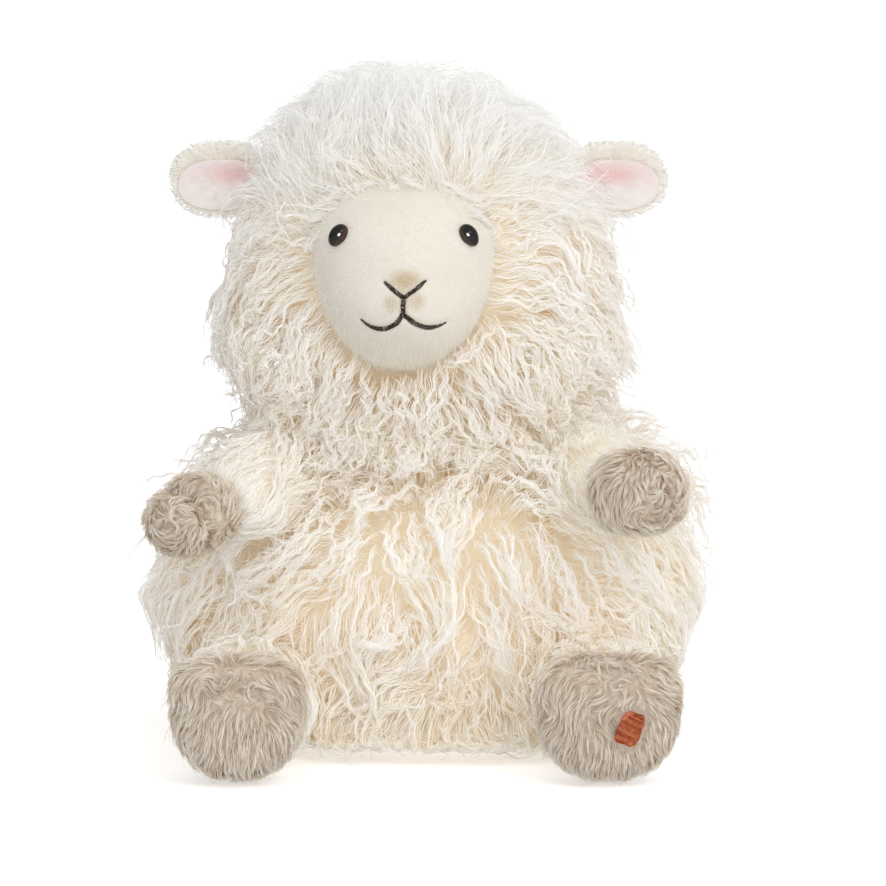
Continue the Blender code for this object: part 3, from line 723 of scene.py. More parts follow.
def pile(name, p, share, thick, look, body, rng, lock=None, split=None, tone=None, blunt=0.75, lock_shade=0.003):
    """Pieces of pile no bigger than the limit, split by an angle or a place where there are several."""
    n, k, _ = p.shape
    p[..., 2] = np.where(p[..., 2] > 0.3105, 0.3105 + (p[..., 2] - 0.3105) * 0.30, p[..., 2])
    right = np.interp(p[..., 2], (0.028, 0.050, 0.068), (0.1110, 0.1190, 0.1340))
    left = np.interp(p[..., 2], (0.028, 0.050, 0.068), (-0.1160, -0.1240, -0.1370))
    p[..., 0] = np.where(p[..., 0] > right, right + (p[..., 0] - right) * 0.30, p[..., 0])
    p[..., 0] = np.where(p[..., 0] < left, left + (p[..., 0] - left) * 0.30, p[..., 0])
    radius = thick * rng.uniform(0.8, 1.2, (n, 1)) * np.maximum(1 - np.linspace(0, 1, k)[None] ** 3, 0.0) ** blunt
    radius[:, 0] *= 0.7
    base = share if tone is None else tone
    shade = 1.0 - np.abs(rng.normal(0, lock_shade * 0.5, (n, 1)))
    if lock is not None:
        shade = shade * (1.0 - np.abs(rng.normal(0, lock_shade, lock.max() + 1))[lock][:, None])
    tris = n * (6 * (k - 2) + 4)
    count = max(1, int(math.ceil(tris / LIMIT)))
    order = np.argsort(split) if split is not None else np.arange(n)
    found = []
    for i, part in enumerate(np.array_split(order, count)):
        label = name if count == 1 else "%s_%02d" % (name, i + 1)
        made = pile_object(label, p[part], radius[part], np.broadcast_to(base, (n, k))[part], shade[part])
        made.data.materials.append(look)
        if isinstance(body, str):
            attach(made, body)
        else:
            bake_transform(made)
        found.append(made)
    totals[name] = tris
    return found


def dressed(skin, name, look, body, replaces=()):
    """A skin's own piece, which stands for the solids that it names."""
    made = skin.object(name)
    made.data.materials.append(look)
    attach(made, body)
    if replaces:
        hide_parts(*replaces)
    return made


FEWER = 1.0  # share of the strands grown while trying things


def spaced(mm):
    return mm * 0.001 / math.sqrt(FEWER)


# ---------------------------------------------------------------- body
profile = curve(BODY_PROFILE, 60)
slope = np.gradient(profile, axis=0)
outward = unit(np.stack([slope[:, 1], -slope[:, 0]], -1))


def body_rings(inset, angles, low=0.004):
    """The body's outline moved inwards, as points at each height and angle."""
    r, z = profile[:, 0], profile[:, 1]
    wide = np.maximum(r - inset * outward[:, 0], 0.0)
    deep = np.maximum(r * BODY_DEPTH - inset * outward[:, 0], 0.0)
    high = np.maximum(z - inset * outward[:, 1], low)
    x = wide[:, None] * np.cos(angles)[None]
    y = deep[:, None] * np.sin(angles)[None]
    return np.stack([x, y, np.broadcast_to(high[:, None], x.shape)], -1) + BODY_AT


round_96 = np.linspace(0, 2 * math.pi, 96, endpoint=False)
rings = body_rings(0.0095, round_96)[:-1]
rings = rings[np.concatenate([[True], np.linalg.norm(np.diff(rings[:, 0], axis=0), axis=1) > 2e-4])]
lumps = drift(rings.reshape(-1, 3), 0.022, 3).reshape(rings.shape)[..., :1] * 0.0008
middle = rings.mean(axis=1, keepdims=True)
rings = rings + unit(rings - middle) * lumps
rings[..., 2] = np.maximum(rings[..., 2], 0.003)
body_skin = Skin(rings, low=BODY_AT + (0, 0, 0.003), high=BODY_AT + (0, 0, 0.1272))
dressed(body_skin, "body_undercoat", UNDER, "torso", ("body_fleece",))

# the surface that the body's locks follow spreads out onto the ground at its foot
flare = body_rings(0.0095, round_96)[:-1]
height = flare[:, :1, 2]
skirt = np.interp(height[:, 0], (0.0, 0.008, 0.020, 0.034), (0.0035, 0.0025, 0.0010, 0.0))
flat = unit((flare - BODY_AT) * (1, 1, 0))
widest = flare[height[:, 0] > 0.034][0]
for j in range(len(flare)):
    if height[j, 0] < 0.034:
        at_front = np.clip(-np.sin(round_96), 0, 1)[:, None]
        flare[j, :, :2] = widest[:, :2] + flat[j, :, :2] * skirt[j] * (1 - 0.75 * at_front)
body_guide = Skin(flare, high=BODY_AT + (0, 0, 0.1272))

limb_obstacles = []
for side, (pivot, paw_middle) in ARMS.items():
    a, b = np.array(pivot), np.array(paw_middle)
    way = (b - a) / np.linalg.norm(b - a)
    limb_obstacles.append(capsule(a + way * 0.004, a + way * (ARM_LENGTH + PAW_LENGTH - 0.018), 0.0195))
for side, (pivot, along, wide, high) in LEGS.items():
    a, way = np.array(pivot), unit(np.array(along, float))
    limb_obstacles.append(capsule(a + way * 0.008, a + way * (LEG_LENGTH + FOOT_LENGTH - 0.026), 0.0295))
head_obstacle = egg(HEAD_AT, (0.0790, 0.0690, 0.0690))
tail_obstacle = capsule(TAIL_AT, np.array(TAIL_AT) + unit(np.array(TAIL_AIM)) * 0.022, 0.012)


limb_ways = [(np.array(a), unit(np.array(b) - np.array(a)), 0.030, 1.3) for a, b in ARMS.values()]
limb_ways += [(np.array(a), unit(np.array(w, float)), 0.034, 0.9) for a, w, _, _ in LEGS.values()]


def body_comb(seed, own=0.0):
    def comb(q, n, t):
        rel = q - BODY_AT
        out = unit(rel * (1, 1, 0))
        way = np.tile((0.0, 0.0, -1.0), (len(q), 1))
        way = way + out * ease(0.3, 0.95, n[:, 2:3]) * 1.2
        way[:, 0] += np.clip(rel[:, 0] / 0.10, -1, 1) * 0.55
        way += out * np.abs(out[:, 0:1]) * 0.30 * ease(0.020, 0.040, q[:, 2:3])
        for at, along, reach, pull in limb_ways:
            way = way + along * pull * np.exp(-((np.linalg.norm(q - at, axis=1, keepdims=True) / reach) ** 2))
        way += drift(q, 0.055, seed) * 0.30 + drift(q, 0.017, seed + 1) * 0.20 + own
        low = ease(0.010, 0.003, q[:, 2:3]) * (1 - 0.7 * np.clip(-out[:, 1:2], 0, 1))
        return way * (1 - low) + out * low * 0.4

    return comb


def body_keep(p):
    return (p[:, 2] > 0.0045) & (np.linalg.norm((p - BODY_AT)[:, :2], axis=1) > 0.020)


def body_pile(name, spacing, per, rings_of, thick, seed, long, high, tuft, pull, spans, amp, wave, pale, keep=None):
    """One layer of the body's wool."""
    rng = np.random.default_rng(seed)
    roots = body_skin.scatter(spaced(spacing), rng, keep=body_keep)
    roots = roots[~inside(roots, limb_obstacles, 0.80)]
    if keep is not None:
        roots = roots[keep(roots, rng)]
    count = len(roots)
    leader, owner = tufts(roots, tuft, rng)
    many = owner.max() + 1
    neck = ease(0.100, 0.122, roots[:, 2])
    fine = min(1.0, high[1] / 0.006)
    length = rng.uniform(*long, count) * rng.uniform(0.80, 1.20, many)[owner] * (0.85 + 0.2 * ease(0.12, 0.06, roots[:, 2])) * (1 - 0.30 * neck)
    height = rng.uniform(*high, count) + rng.uniform(0.0, 0.0075, many)[owner] * fine
    out = unit((roots - BODY_AT) * (1, 1 / BODY_DEPTH, 0))
    shoulder = ease(0.088, 0.108, roots[:, 2]) * (0.65 + 0.35 * out[:, 0] ** 2)
    flank = ease(0.034, 0.066, roots[:, 2]) * ease(0.118, 0.100, roots[:, 2]) * out[:, 0] ** 2 * np.where(out[:, 0] > 0, 0.0115, 0.0140)
    puff = np.maximum(np.where(out[:, 0] > 0.2, 0.030, 0.021) * shoulder, flank)
    for at, along, reach, pull_ in limb_ways[:2]:
        puff = np.where(((roots - at) * along).sum(1) > -0.004, puff * (1 - 0.8 * np.exp(-((np.linalg.norm(roots - at, axis=1) / 0.024) ** 4))), puff)
    bib = ease(-0.55, -0.80, out[:, 1]) * ease(0.076, 0.098, roots[:, 2]) * 0.0165 * fine
    height = height + puff * rng.uniform(0.35, 1.08, count) + bib * rng.uniform(0.2, 1.1, many)[owner]
    sides = np.abs(out[:, 0]) ** 3 * ease(0.030, 0.055, roots[:, 2])
    flick = np.where(rng.random(count) < 0.3 + 0.25 * sides, rng.uniform(0.002, 0.009, count) * (1 + 0.5 * sides), rng.uniform(-0.003, 0.001, count)) * fine
    own = rng.normal(0, 0.33, (many, 3))[owner] * (1 + 0.8 * ease(0.100, 0.120, roots[:, 2:3]))
    path, tops = locks(body_guide, roots, length, height, body_comb(21, own), rise=0.20, flick=flick, obstacles=limb_obstacles + [head_obstacle, tail_obstacle])
    path = gathered(path, leader, rng.uniform(*pull, many)[owner])
    path[:, 1:] = clear_of(path[:, 1:], limb_obstacles + [head_obstacle, tail_obstacle])
    swing = rng.gamma(5.0, amp, many)[owner] * rng.uniform(0.8, 1.2, count)
    p, lock, share = strands(
        path, tops, per, rings_of, rng, root=spans[0], tip=spans[1], amp=swing, wave=rng.uniform(*wave, many)[owner] * rng.uniform(0.93, 1.07, count), group=owner
    )
    # painted shade: locks that stand lower among the tufts get a darker, warmer tone
    out_of_shade = np.clip((height[lock] - puff[lock] - 0.0020) / 0.0090, 0, 1)[:, None]
    tone = np.clip((share * 0.66 + 0.46 * out_of_shade) * (1 - pale) + pale * 0.45 + rng.normal(0, 0.07, many)[owner][lock][:, None], 0, 1)
    # painted shade: the wool is darker towards the bottom
    tone = tone * (1 - 0.75 * ease(0.068, 0.012, p[..., 2]))
    turn = np.arctan2((p[:, 0, 1] - BODY_AT[1]), (p[:, 0, 0] - BODY_AT[0]))
    pile(name, p, share, thick, WOOL, "torso", rng, lock, turn, tone)


def seen_more(p, rng):
    """All places in front and most of those behind."""
    return (p[:, 1] < 0.030) | (rng.random(len(p)) < 0.72)


body_pile("body_underwool", 4.2, 3, 5, 0.00026, 10, (0.012, 0.018), (0.0012, 0.0030), 0.011, (0.1, 0.4), (0.0028, 0.0013), 0.00014, (0.008, 0.013), 0.6)
body_pile("body_wool", 4.25, 9, 11, 0.00019, 11, (0.031, 0.050), (0.0014, 0.0052), 0.0135, (0.55, 0.92), (0.0030, 0.0008), 0.00034, (0.0125, 0.0200), 0.0, seen_more)
body_pile("body_wisps", 13.0, 6, 16, 0.00017, 14, (0.036, 0.054), (0.0060, 0.0115), 0.004, (0.0, 0.1), (0.0022, 0.0004), 0.00040, (0.0085, 0.0150), 0.0)

# ---------------------------------------------------------------- head
head_skin = globe(96, 56, ellipsoid(HEAD_AT, (0.0775, 0.0675, 0.0675), 2.1))


def in_face(points, grow=0.0):
    """Under 1 where a place, seen from the front, is within the face's outline."""
    dx = np.abs(points[:, 0] - FACE_AT[0]) / (face_width(points[:, 2]) + grow)
    dz = np.abs(points[:, 2] - FACE_AT[2]) / (FACE_SEMI[2] + grow)
    front = points[:, 1] < HEAD_AT[1] - 0.010
    return np.where(front, (dx ** FACE_P + dz ** FACE_P) ** (1 / FACE_P), 9.0)


def narrow(z):
    """The face's width at a height, as a share of its solid's: it narrows towards the chin."""
    return np.interp(np.asarray(z) - FACE_AT[2], (-0.042, -0.038, -0.031, -0.0217, -0.008, 0.0055, 0.020, 0.042), (0.66, 0.70, 0.77, 0.83, 0.90, 0.95, 1.0, 1.0))


def face_width(z):
    return FACE_SEMI[0] * narrow(z)


dressed(head_skin, "head_undercoat", UNDER, "head", ("head_fleece",))


def head_rings():
    def place(s, a):
        at = ellipsoid(HEAD_AT, (0.0775, 0.0675, 0.0675), 2.1)(s, a)
        rel = at - HEAD_AT
        bell = 1 + 0.14 * ease(0.02, -0.045, rel[..., 2:3])
        rel = np.concatenate([rel[..., :2] * bell, rel[..., 2:]], -1)
        return HEAD_AT + rel

    return place


upper = head_rings()
levels = np.linspace(1.0, 0.40, 34)[1:]
around = np.linspace(0, 2 * math.pi, 96, endpoint=False)
s, a = np.meshgrid(levels, around, indexing="ij")
dome = upper(s, a)
edge = dome[-1]
falls = []
for z, wide in ((-0.034, 1.015), (-0.042, 1.000), (-0.050, 0.960), (-0.058, 0.905), (-0.066, 0.850), (-0.076, 0.800), (-0.090, 0.780)):
    ring = HEAD_AT + (edge - HEAD_AT) * (wide, wide, 0)
    ring[:, 2] = HEAD_AT[2] + z
    falls.append(ring)
head_guide = Skin(np.vstack([np.array(falls)[::-1], dome[::-1]]), high=HEAD_AT + (0, 0, 0.0675))
face_obstacle = egg(FACE_AT + (0, 0.004, 0), (0.0415, 0.0560, 0.0405))


def head_comb(seed, own=0.0):
    def comb(q, n, t):
        rel = q - FACE_AT
        radial = unit(rel * (1, 0, 1))
        front = ease(0.030, -0.030, q[:, 1:2])
        high = ease(0.228, 0.262, q[:, 2:3])
        down = np.tile((0.0, 0.0, -1.0), (len(q), 1))
        back = np.tile((0.0, 1.0, 0.0), (len(q), 1))
        side = unit((q - HEAD_AT) * (1, 0.6, 0))
        way = radial * front * 1.0
        way += down * (1 - high) * (0.55 + 0.6 * (1 - front))
        way += side * (1 - front * 0.6) * 0.35
        way += back * high * 0.35
        way += down * high * (1 - front) * 0.7
        return way + drift(q, 0.045, seed) * 0.28 + drift(q, 0.015, seed + 1) * 0.22 + own

    return comb


def head_keep(p):
    outside = in_face(p, -0.0005) > 0.90
    return outside & (p[:, 2] > 0.1560)


def head_crown(p):
    return ease(0.226, 0.256, p[:, 2]) * ease(0.045, 0.0, p[:, 1])


def head_pile(name, kind, spacing, per, rings_of, thick, seed, look, long, high, tuft, pull, spans, amp, wave, pale, rise=0.22, steps=11, lift=0.0, **more):
    """One layer of the head's wool, of the crown's straighter kind or of the other."""
    rng = np.random.default_rng(seed)
    roots = head_skin.scatter(spaced(spacing), rng, keep=head_keep)
    if kind is not None:
        roots = roots[(rng.random(len(roots)) < head_crown(roots)) == kind]
        roots = roots[(roots[:, 1] < 0.035) | (rng.random(len(roots)) < 0.80)]
    count = len(roots)
    leader, owner = tufts(roots, tuft, rng)
    many = owner.max() + 1
    low = ease(0.205, 0.165, roots[:, 2])
    length = rng.uniform(*long, count) * rng.uniform(0.82, 1.18, many)[owner] * (1 - 0.38 * low)
    beside_neck = ease(0.028, 0.045, np.abs(roots[:, 0] - HEAD_AT[0])) * ease(0.200, 0.175, roots[:, 2])
    length = length * (1 - 0.30 * beside_neck)
    near_ear = np.zeros(count)
    for hinge in EAR_HINGES.values():
        away = np.linalg.norm((roots - np.array(hinge) + (math.copysign(0.006, hinge[0]), 0.008, 0)) / (1, 1.3, 0.9), axis=1)
        near_ear = np.maximum(near_ear, np.exp(-((away / 0.0170) ** 4)))
    length = length * (1 - 0.36 * near_ear)
    height = rng.uniform(*high, count) + rng.uniform(0.0, 0.0055, many)[owner] * min(1.0, high[1] / 0.006)
    wide_of = np.abs(roots[:, 0] - HEAD_AT[0])
    top = 0.0090 * ease(0.235, 0.262, roots[:, 2]) * ease(-0.062, -0.045, roots[:, 1]) * (1 - 0.75 * ease(0.032, 0.056, wide_of))
    height = (height + top * rng.uniform(0.45, 1.05, count)) * (1 - 0.55 * near_ear)
    flick = np.where(rng.random(count) < 0.3, rng.uniform(0.002, 0.008, count), rng.uniform(-0.002, 0.002, count)) * min(1.0, high[1] / 0.006) * (1 - near_ear)
    own = rng.normal(0, 0.34 if kind else 0.30, (many, 3))[owner] + (rng.normal(0, 0.22, (count, 3)) if kind else 0.0)
    upright = 0.0
    if lift:
        beside = np.exp(-((wide_of / 0.036) ** 4)) * ease(0.245, 0.262, roots[:, 2])
        upright = rng.uniform(0, lift, count) + 0.006 * beside * rng.uniform(0.2, 1.0, many)[owner]
        length = length * (1 + 0.25 * beside)
    path, tops = locks(head_guide, roots, length, height, head_comb(33, own), rise=rise, flick=flick, lift=upright, steps=steps, obstacles=[face_obstacle])
    path = gathered(path, leader, rng.uniform(*pull, many)[owner])
    spread_out = ease(0.046, 0.066, path[:, :1, 0]) * ease(0.205, 0.180, path[:, :1, 2]) * np.linspace(0, 1, path.shape[1])[None] ** 1.5
    path[..., 0] += spread_out * 0.012
    path[:, 1:] = clear_of(path[:, 1:], [face_obstacle])
    swing = rng.gamma(5.0, amp, many)[owner] * rng.uniform(0.8, 1.2, count)
    p, lock, share = strands(
        path, tops, per, rings_of, rng, root=spans[0], tip=spans[1], amp=swing, wave=rng.uniform(*wave, many)[owner] * rng.uniform(0.93, 1.07, count), group=owner, **more
    )
    cap = np.interp(np.abs(p[..., 0] + 0.0080), (0.020, 0.038, 0.046, 0.062, 0.074), (0.3065, 0.3000, 0.2880, 0.2810, 0.2700))
    cap = cap + (0.0024 if kind else 0.0) * np.sin(np.arange(many) * 2.4)[owner][lock][:, None]  # tuft by tuft
    p[..., 2] = np.where(p[..., 2] > cap, cap + (p[..., 2] - cap) * (0.80 if name == "crown_wisps" else 0.40), p[..., 2])
    beyond = np.minimum(p[..., 0] + 0.0880, 0.0) * ease(0.202, 0.210, p[..., 2]) * ease(0.240, 0.231, p[..., 2])
    p[..., 0] -= beyond * 0.55
    # painted shade: locks that stand lower among the tufts get a darker, warmer tone
    out_of_shade = np.clip((height[lock] - 0.0030) / 0.0085, 0, 1)[:, None]
    tone = np.clip((share * 0.85 + 0.22 * out_of_shade) * (1 - pale) + pale * 0.45 + rng.normal(0, 0.07, many)[owner][lock][:, None], 0, 1)
    if kind:
        turn = np.arctan2(p[:, 0, 2] - 0.20, p[:, 0, 0] - HEAD_AT[0])
    else:
        turn = np.arctan2(p[:, 0, 1] - HEAD_AT[1], p[:, 0, 0] - HEAD_AT[0])
    pile(name, p, share, thick, look, "head", rng, lock, turn, tone)


head_pile("head_underwool", None, 4.2, 3, 5, 0.00025, 15, MANE, (0.011, 0.017), (0.0015, 0.0035), 0.011, (0.1, 0.4), (0.0028, 0.0013), 0.00014, (0.008, 0.013), 0.6)
head_pile("head_wool", False, 4.00, 9, 11, 0.00017, 12, MANE, (0.027, 0.041), (0.0030, 0.0095), 0.0130, (0.45, 0.90), (0.0033, 0.0006), 0.00025, (0.0110, 0.0185), 0.0)
head_pile("head_wisps", False, 11.0, 6, 16, 0.00016, 16, MANE, (0.030, 0.044), (0.0080, 0.0140), 0.004, (0.0, 0.1), (0.0022, 0.0004), 0.00036, (0.0080, 0.0140), 0.0)
head_pile(
    "crown_wool", True, 3.5, 15, 9, 0.00014, 13, CROWN, (0.024, 0.036), (0.0060, 0.0130), 0.0110, (0.0, 0.35), (0.0044, 0.0028), 0.00018, (0.014, 0.024), 0.0,
    rise=0.5, steps=8, lift=0.006, gather=1.0, loose=0.30, jitter=1.0,
)

head_pile(
    "crown_wisps", True, 9.5, 9, 9, 0.00013, 22, CROWN, (0.020, 0.032), (0.0080, 0.0130), 0.0100, (0.0, 0.2), (0.0022, 0.0004), 0.00034, (0.010, 0.016), 0.0,
    rise=0.7, steps=8, lift=0.007, gather=0.8, loose=0.25,
)


def ruff():
    """Short curled tufts that stand out under the chin and beside it."""
    rng = np.random.default_rng(19)

    def keep(p):
        x, z = np.abs(p[:, 0] - FACE_AT[0]), p[:, 2]
        return (p[:, 1] < -0.018) & (z > 0.1505) & (z < 0.186 + 0.25 * x) & (in_face(p, 0.0005) > 0.90) & (z < 0.205)

    roots = head_skin.scatter(spaced(3.8), rng, keep=keep)
    count = len(roots)
    leader, owner = tufts(roots, 0.0115, rng)
    many = owner.max() + 1
    chin = np.exp(-(((roots[:, 0] - FACE_AT[0]) / 0.034) ** 2)) * ease(0.190, 0.178, roots[:, 2])
    height = rng.uniform(0.009, 0.015, count) + chin * rng.uniform(0.005, 0.013, many)[owner]
    length = rng.uniform(0.022, 0.031, count)
    own = rng.normal(0, 0.55, (many, 3))[owner]
    path, tops = locks(head_guide, roots, length, height, head_comb(35, own), rise=0.35, flick=rng.uniform(-0.004, 0.004, count), steps=9, obstacles=[face_obstacle])
    path = gathered(path, leader, 0.6)
    path[:, 1:] = clear_of(path[:, 1:], [face_obstacle])
    p, lock, share = strands(
        path, tops, 9, 11, rng, root=0.0030, tip=0.0008, amp=rng.gamma(5.0, 0.00032, many)[owner], wave=rng.uniform(0.0090, 0.0150, many)[owner], loose=0.12, group=owner
    )
    pile("chin_ruff", p, share, 0.00017, MANE, "head", rng, lock, None, np.clip(share * 0.75 + 0.05, 0, 1))


ruff()

# ---------------------------------------------------------------- face
def lines_far(x, z, line):
    """How far places on the face are from a stitched line, seen from the front."""
    best = np.full(x.shape, 9.0)
    for (ax, az), (bx, bz) in zip(line[:-1], line[1:]):
        dx, dz = bx - ax, bz - az
        t = np.clip(((x - ax) * dx + (z - az) * dz) / (dx * dx + dz * dz), 0, 1)
        best = np.minimum(best, np.hypot(x - ax - t * dx, z - az - t * dz))
    return best


NOSE_LEFT = curve(((-0.0082, 0.0016), (-0.0046, -0.0016), (0.0001, -0.0054)), 13)
NOSE_RIGHT = curve(((0.0001, -0.0054), (0.0052, -0.0018), (0.0099, 0.0022)), 13)
STEM = curve(((0.0001, -0.0054), (0.0000, -0.0088), (-0.0002, -0.0121)), 9)
MOUTH_LEFT = curve(((-0.0002, -0.0120), (-0.0028, -0.0160), (-0.0075, -0.0186), (-0.0135, -0.0182), (-0.0185, -0.0150)), 25)
MOUTH_RIGHT = curve(((-0.0002, -0.0120), (0.0045, -0.0160), (0.0092, -0.0180), (0.0142, -0.0180), (0.0186, -0.0165)), 25)
CHIN_SEAMS = (
    curve(((-0.0120, -0.0200), (-0.0150, -0.0255), (-0.0168, -0.0345)), 10),
    curve(((0.0130, -0.0200), (0.0160, -0.0255), (0.0175, -0.0345)), 10),
)


def face_point(n):
    """The face's form, from unit directions: a squared egg with a muzzle, a nose and soft creases."""
    grow = (np.abs(n) ** FACE_P).sum(-1, keepdims=True) ** (-1.0 / FACE_P)
    p = n * grow * np.array(FACE_SEMI)
    x, y, z = p[..., 0], p[..., 1], p[..., 2]
    x = x * narrow(z + FACE_AT[2])
    front = ease(-0.02, -0.035, y)
    y = y - front * 0.0036 * np.exp(-((x / 0.0200) ** 2) - ((z + 0.0140) / 0.0140) ** 2)
    y = y - front * 0.0012 * np.exp(-((x / 0.0085) ** 2) - ((z - 0.0040) / 0.0160) ** 2)
    y = y + front * 0.0010 * np.exp(-(((np.abs(x) - 0.0200) / 0.0090) ** 2) - ((z - 0.0060) / 0.0120) ** 2)
    for line, deep, wide in (
        (NOSE_LEFT, 0.0007, 0.0011), (NOSE_RIGHT, 0.0007, 0.0011), (STEM, 0.0009, 0.0012),
        (MOUTH_LEFT, 0.0010, 0.0013), (MOUTH_RIGHT, 0.0010, 0.0013),
        (CHIN_SEAMS[0], 0.0008, 0.0009), (CHIN_SEAMS[1], 0.0006, 0.0009),
    ):
        y = y + front * deep * np.exp(-((lines_far(x, z, line) / wide) ** 2))
    return np.stack([x, y, z], -1) + FACE_AT


def face_skin_mesh():
    """The front half of the face's form, before it is given a wall."""
    bm = bmesh.new()
    bmesh.ops.create_uvsphere(bm, u_segments=220, v_segments=150, radius=1.0)
    gone = [f for f in bm.faces if f.calc_center_median().y > 0.10]
    bmesh.ops.delete(bm, geom=gone, context="FACES")
    n = unit(np.array([v.co for v in bm.verts]))
    moved = face_point(n)
    for v, at in zip(bm.verts, moved):
        v.co = at
    mesh = bpy.data.meshes.new("face")
    bm.to_mesh(mesh)
    bm.free()
    return mesh


face_mesh = face_skin_mesh()
face = bpy.data.objects.new("face", face_mesh)
bpy.context.scene.collection.objects.link(face)
wall = face.modifiers.new("wall", "SOLIDIFY")
wall.thickness, wall.offset = 0.0014, -1.0
graph = bpy.context.evaluated_depsgraph_get()
solid = bpy.data.meshes.new_from_object(face.evaluated_get(graph))
face.modifiers.clear()
face.data = solid
face.data.shade_smooth()
face.data.materials.append(VELOUR)
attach(face, "head")
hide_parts("face_panel")


def on_face(x, z, proud=0.0):
    """A place on the face's own form seen from the front, and its outward normal."""
    got = face_tree.ray_cast(Vector((FACE_AT[0] + x, -0.2, FACE_AT[2] + z)), Vector((0, 1, 0)))
    return np.array(got[0]) + np.array(got[1]) * proud, np.array(got[1])


face_tree = BVHTree.FromPolygons([v.co[:] for v in face_mesh.vertices], [p.vertices[:] for p in face_mesh.polygons])


def thread(name, lines, replaces, thick=0.00062, seed=5):
    """Satin stitching: short overlapping turns of thread along each line, thinner at its ends."""
    rng = np.random.default_rng(seed)
    groups = []
    for line, first, last in lines:
        at = np.array([on_face(x, z, 0.0003)[0] for x, z in line])
        far = np.concatenate([[0], np.cumsum(np.linalg.norm(np.diff(at, axis=0), axis=1))])
        for ply in range(7):
            t = np.linspace(0, far[-1], 34)
            c = np.stack([np.interp(t, far, at[:, i]) for i in range(3)], -1)
            way = unit(np.gradient(c, axis=0))
            out = np.tile((0.0, -1.0, 0.0), (len(t), 1))
            side = unit(np.cross(way, out))
            s = t / far[-1]
            wide = thick * (first + (1 - first) * np.clip(s / 0.35, 0, 1)) * (last + (1 - last) * np.clip((1 - s) / 0.35, 0, 1))
            phase = ply / 7 * 2 * math.pi
            turn = phase + t / 0.0042 * 2 * math.pi
            c = c + side * (wide * np.cos(turn))[:, None] + out * (wide * 0.55 * np.sin(turn))[:, None]
            c = c + rng.normal(0, 0.00003, c.shape)
            groups.append((c, np.maximum(wide * 0.62, 0.00008)))
    p = np.stack([g[0] for g in groups])
    radius = np.stack([g[1] for g in groups])
    radius[:, -1] = 0.0
    made = pile_object(name, p, radius, np.ones((len(p), p.shape[1])), np.ones((len(p), 1)))
    made.data.materials.append(THREAD)
    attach(made, "head")
    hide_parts(*replaces)
    return made


thread("nose_thread", ((NOSE_LEFT, 0.5, 1.0), (NOSE_RIGHT, 1.0, 0.5)), ("nose_stitching",), 0.00066)
thread("philtrum_thread", ((STEM, 1.0, 1.0),), ("philtrum_stitching",), 0.00082)
thread("mouth_thread", ((MOUTH_LEFT, 1.0, 0.30), (MOUTH_RIGHT, 1.0, 0.30)), ("mouth_stitching",), 0.00080)


def eye_piece(side):
    """A domed safety eye on its shank, seated a little into the pile."""
    p = FACE_P
    a, b, c = FACE_SEMI
    dx, dz = SIGN[side] * EYE_SPREAD, EYE_HEIGHT - FACE_AT[2]
    rest = max(1.0 - abs(dx / a) ** p - abs(dz / c) ** p, 0.0)
    dy = -b * rest ** (1.0 / p)
    normal = unit(np.array((
        math.copysign(abs(dx / a) ** (p - 1) / a, dx),
        -(abs(dy / b) ** (p - 1)) / b,
        math.copysign(abs(dz / c) ** (p - 1) / c, dz),
    )))
    middle = FACE_AT + (dx, dy, dz) + normal * 0.0007
    u, v, w = basis(normal)
    round_of = np.linspace(0, math.radians(112), 26)
    line = np.stack([0.0056 * np.sin(round_of), 0.0004 + 0.0038 * np.cos(round_of)], -1)
    line = np.vstack([line, [(0.0030, -0.0016), (0.0015, -0.0018), (0.0014, -0.0090), (0.0, -0.0092)]])
    angle = np.linspace(0, 2 * math.pi, 40, endpoint=False)
    tilt = -SIGN[side] * math.radians(25)

    def drop(r, t, h):
        """An upright oval leaning in at its top, and a little pointed at its lower end."""
        if h < -0.0015:
            return middle + u * r * math.cos(t) + v * r * math.sin(t) + w * h
        across, tall = r * math.cos(t) * 0.72, r * math.sin(t) * 0.97
        across *= 1 - 0.30 * max(-math.sin(t), 0.0) * r / 0.0056
        return middle + u * (across * math.cos(tilt) + tall * math.sin(tilt)) + v * (tall * math.cos(tilt) - across * math.sin(tilt)) + w * h

    rings = np.array([[drop(r, t, h) for t in angle] for r, h in line[1:-1][::-1]])
    skin = Skin(rings, low=middle - w * 0.0092, high=middle + w * 0.0042)
    made = skin.object("eye_%s_dome" % side)
    attribute = made.data.attributes.new("tone", "FLOAT", "POINT")
    ranks = np.concatenate([np.repeat([r for r, _ in line[1:-1][::-1]], len(angle)), [0.0, 0.0]])
    attribute.data.foreach_set("value", np.clip(ranks / 0.0056, 0, 1).astype(np.float32))
    made.data.materials.append(EYE)
    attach(made, "head")
    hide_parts("eye_" + side)
    return made


for side in SIGN:
    eye_piece(side)


def wad():
    """Filling of the head and of the muzzle, one closed body with a hollow round each eye's washer."""
    core = globe(48, 32, ellipsoid(HEAD_AT, (0.0735, 0.0635, 0.0635), 2.1))
    inner = globe(64, 48, lambda s, a: face_form_inset(s, a))
    start = np.array((-0.006, -0.020, 0.216))
    pits = [(np.array(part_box("eye_washer_" + side)[0]), np.array(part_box("eye_washer_" + side)[1])) for side in SIGN]

    def place(s, a):
        lat = (s - 0.5) * math.pi
        n = np.stack([np.cos(lat) * np.cos(a), np.cos(lat) * np.sin(a), np.sin(lat)], -1)
        shape = n.shape
        out = []
        for way in n.reshape(-1, 3).tolist():
            far = 0.0
            for tree in (core.tree, inner.tree):
                hit = tree.ray_cast(Vector(start), Vector(way))
                if hit[3] is not None:
                    far = max(far, hit[3])
            out.append(start + np.array(way) * far)
        p = np.array(out)
        for low, high in pits:
            middle = (low + high) / 2
            near = np.hypot(p[:, 0] - middle[0], p[:, 2] - middle[2]) < 0.0105
            p[:, 1] = np.where(near & (p[:, 1] < high[1] + 0.0008), high[1] + 0.0008, p[:, 1])
        return p.reshape(shape)

    return globe(72, 60, place)


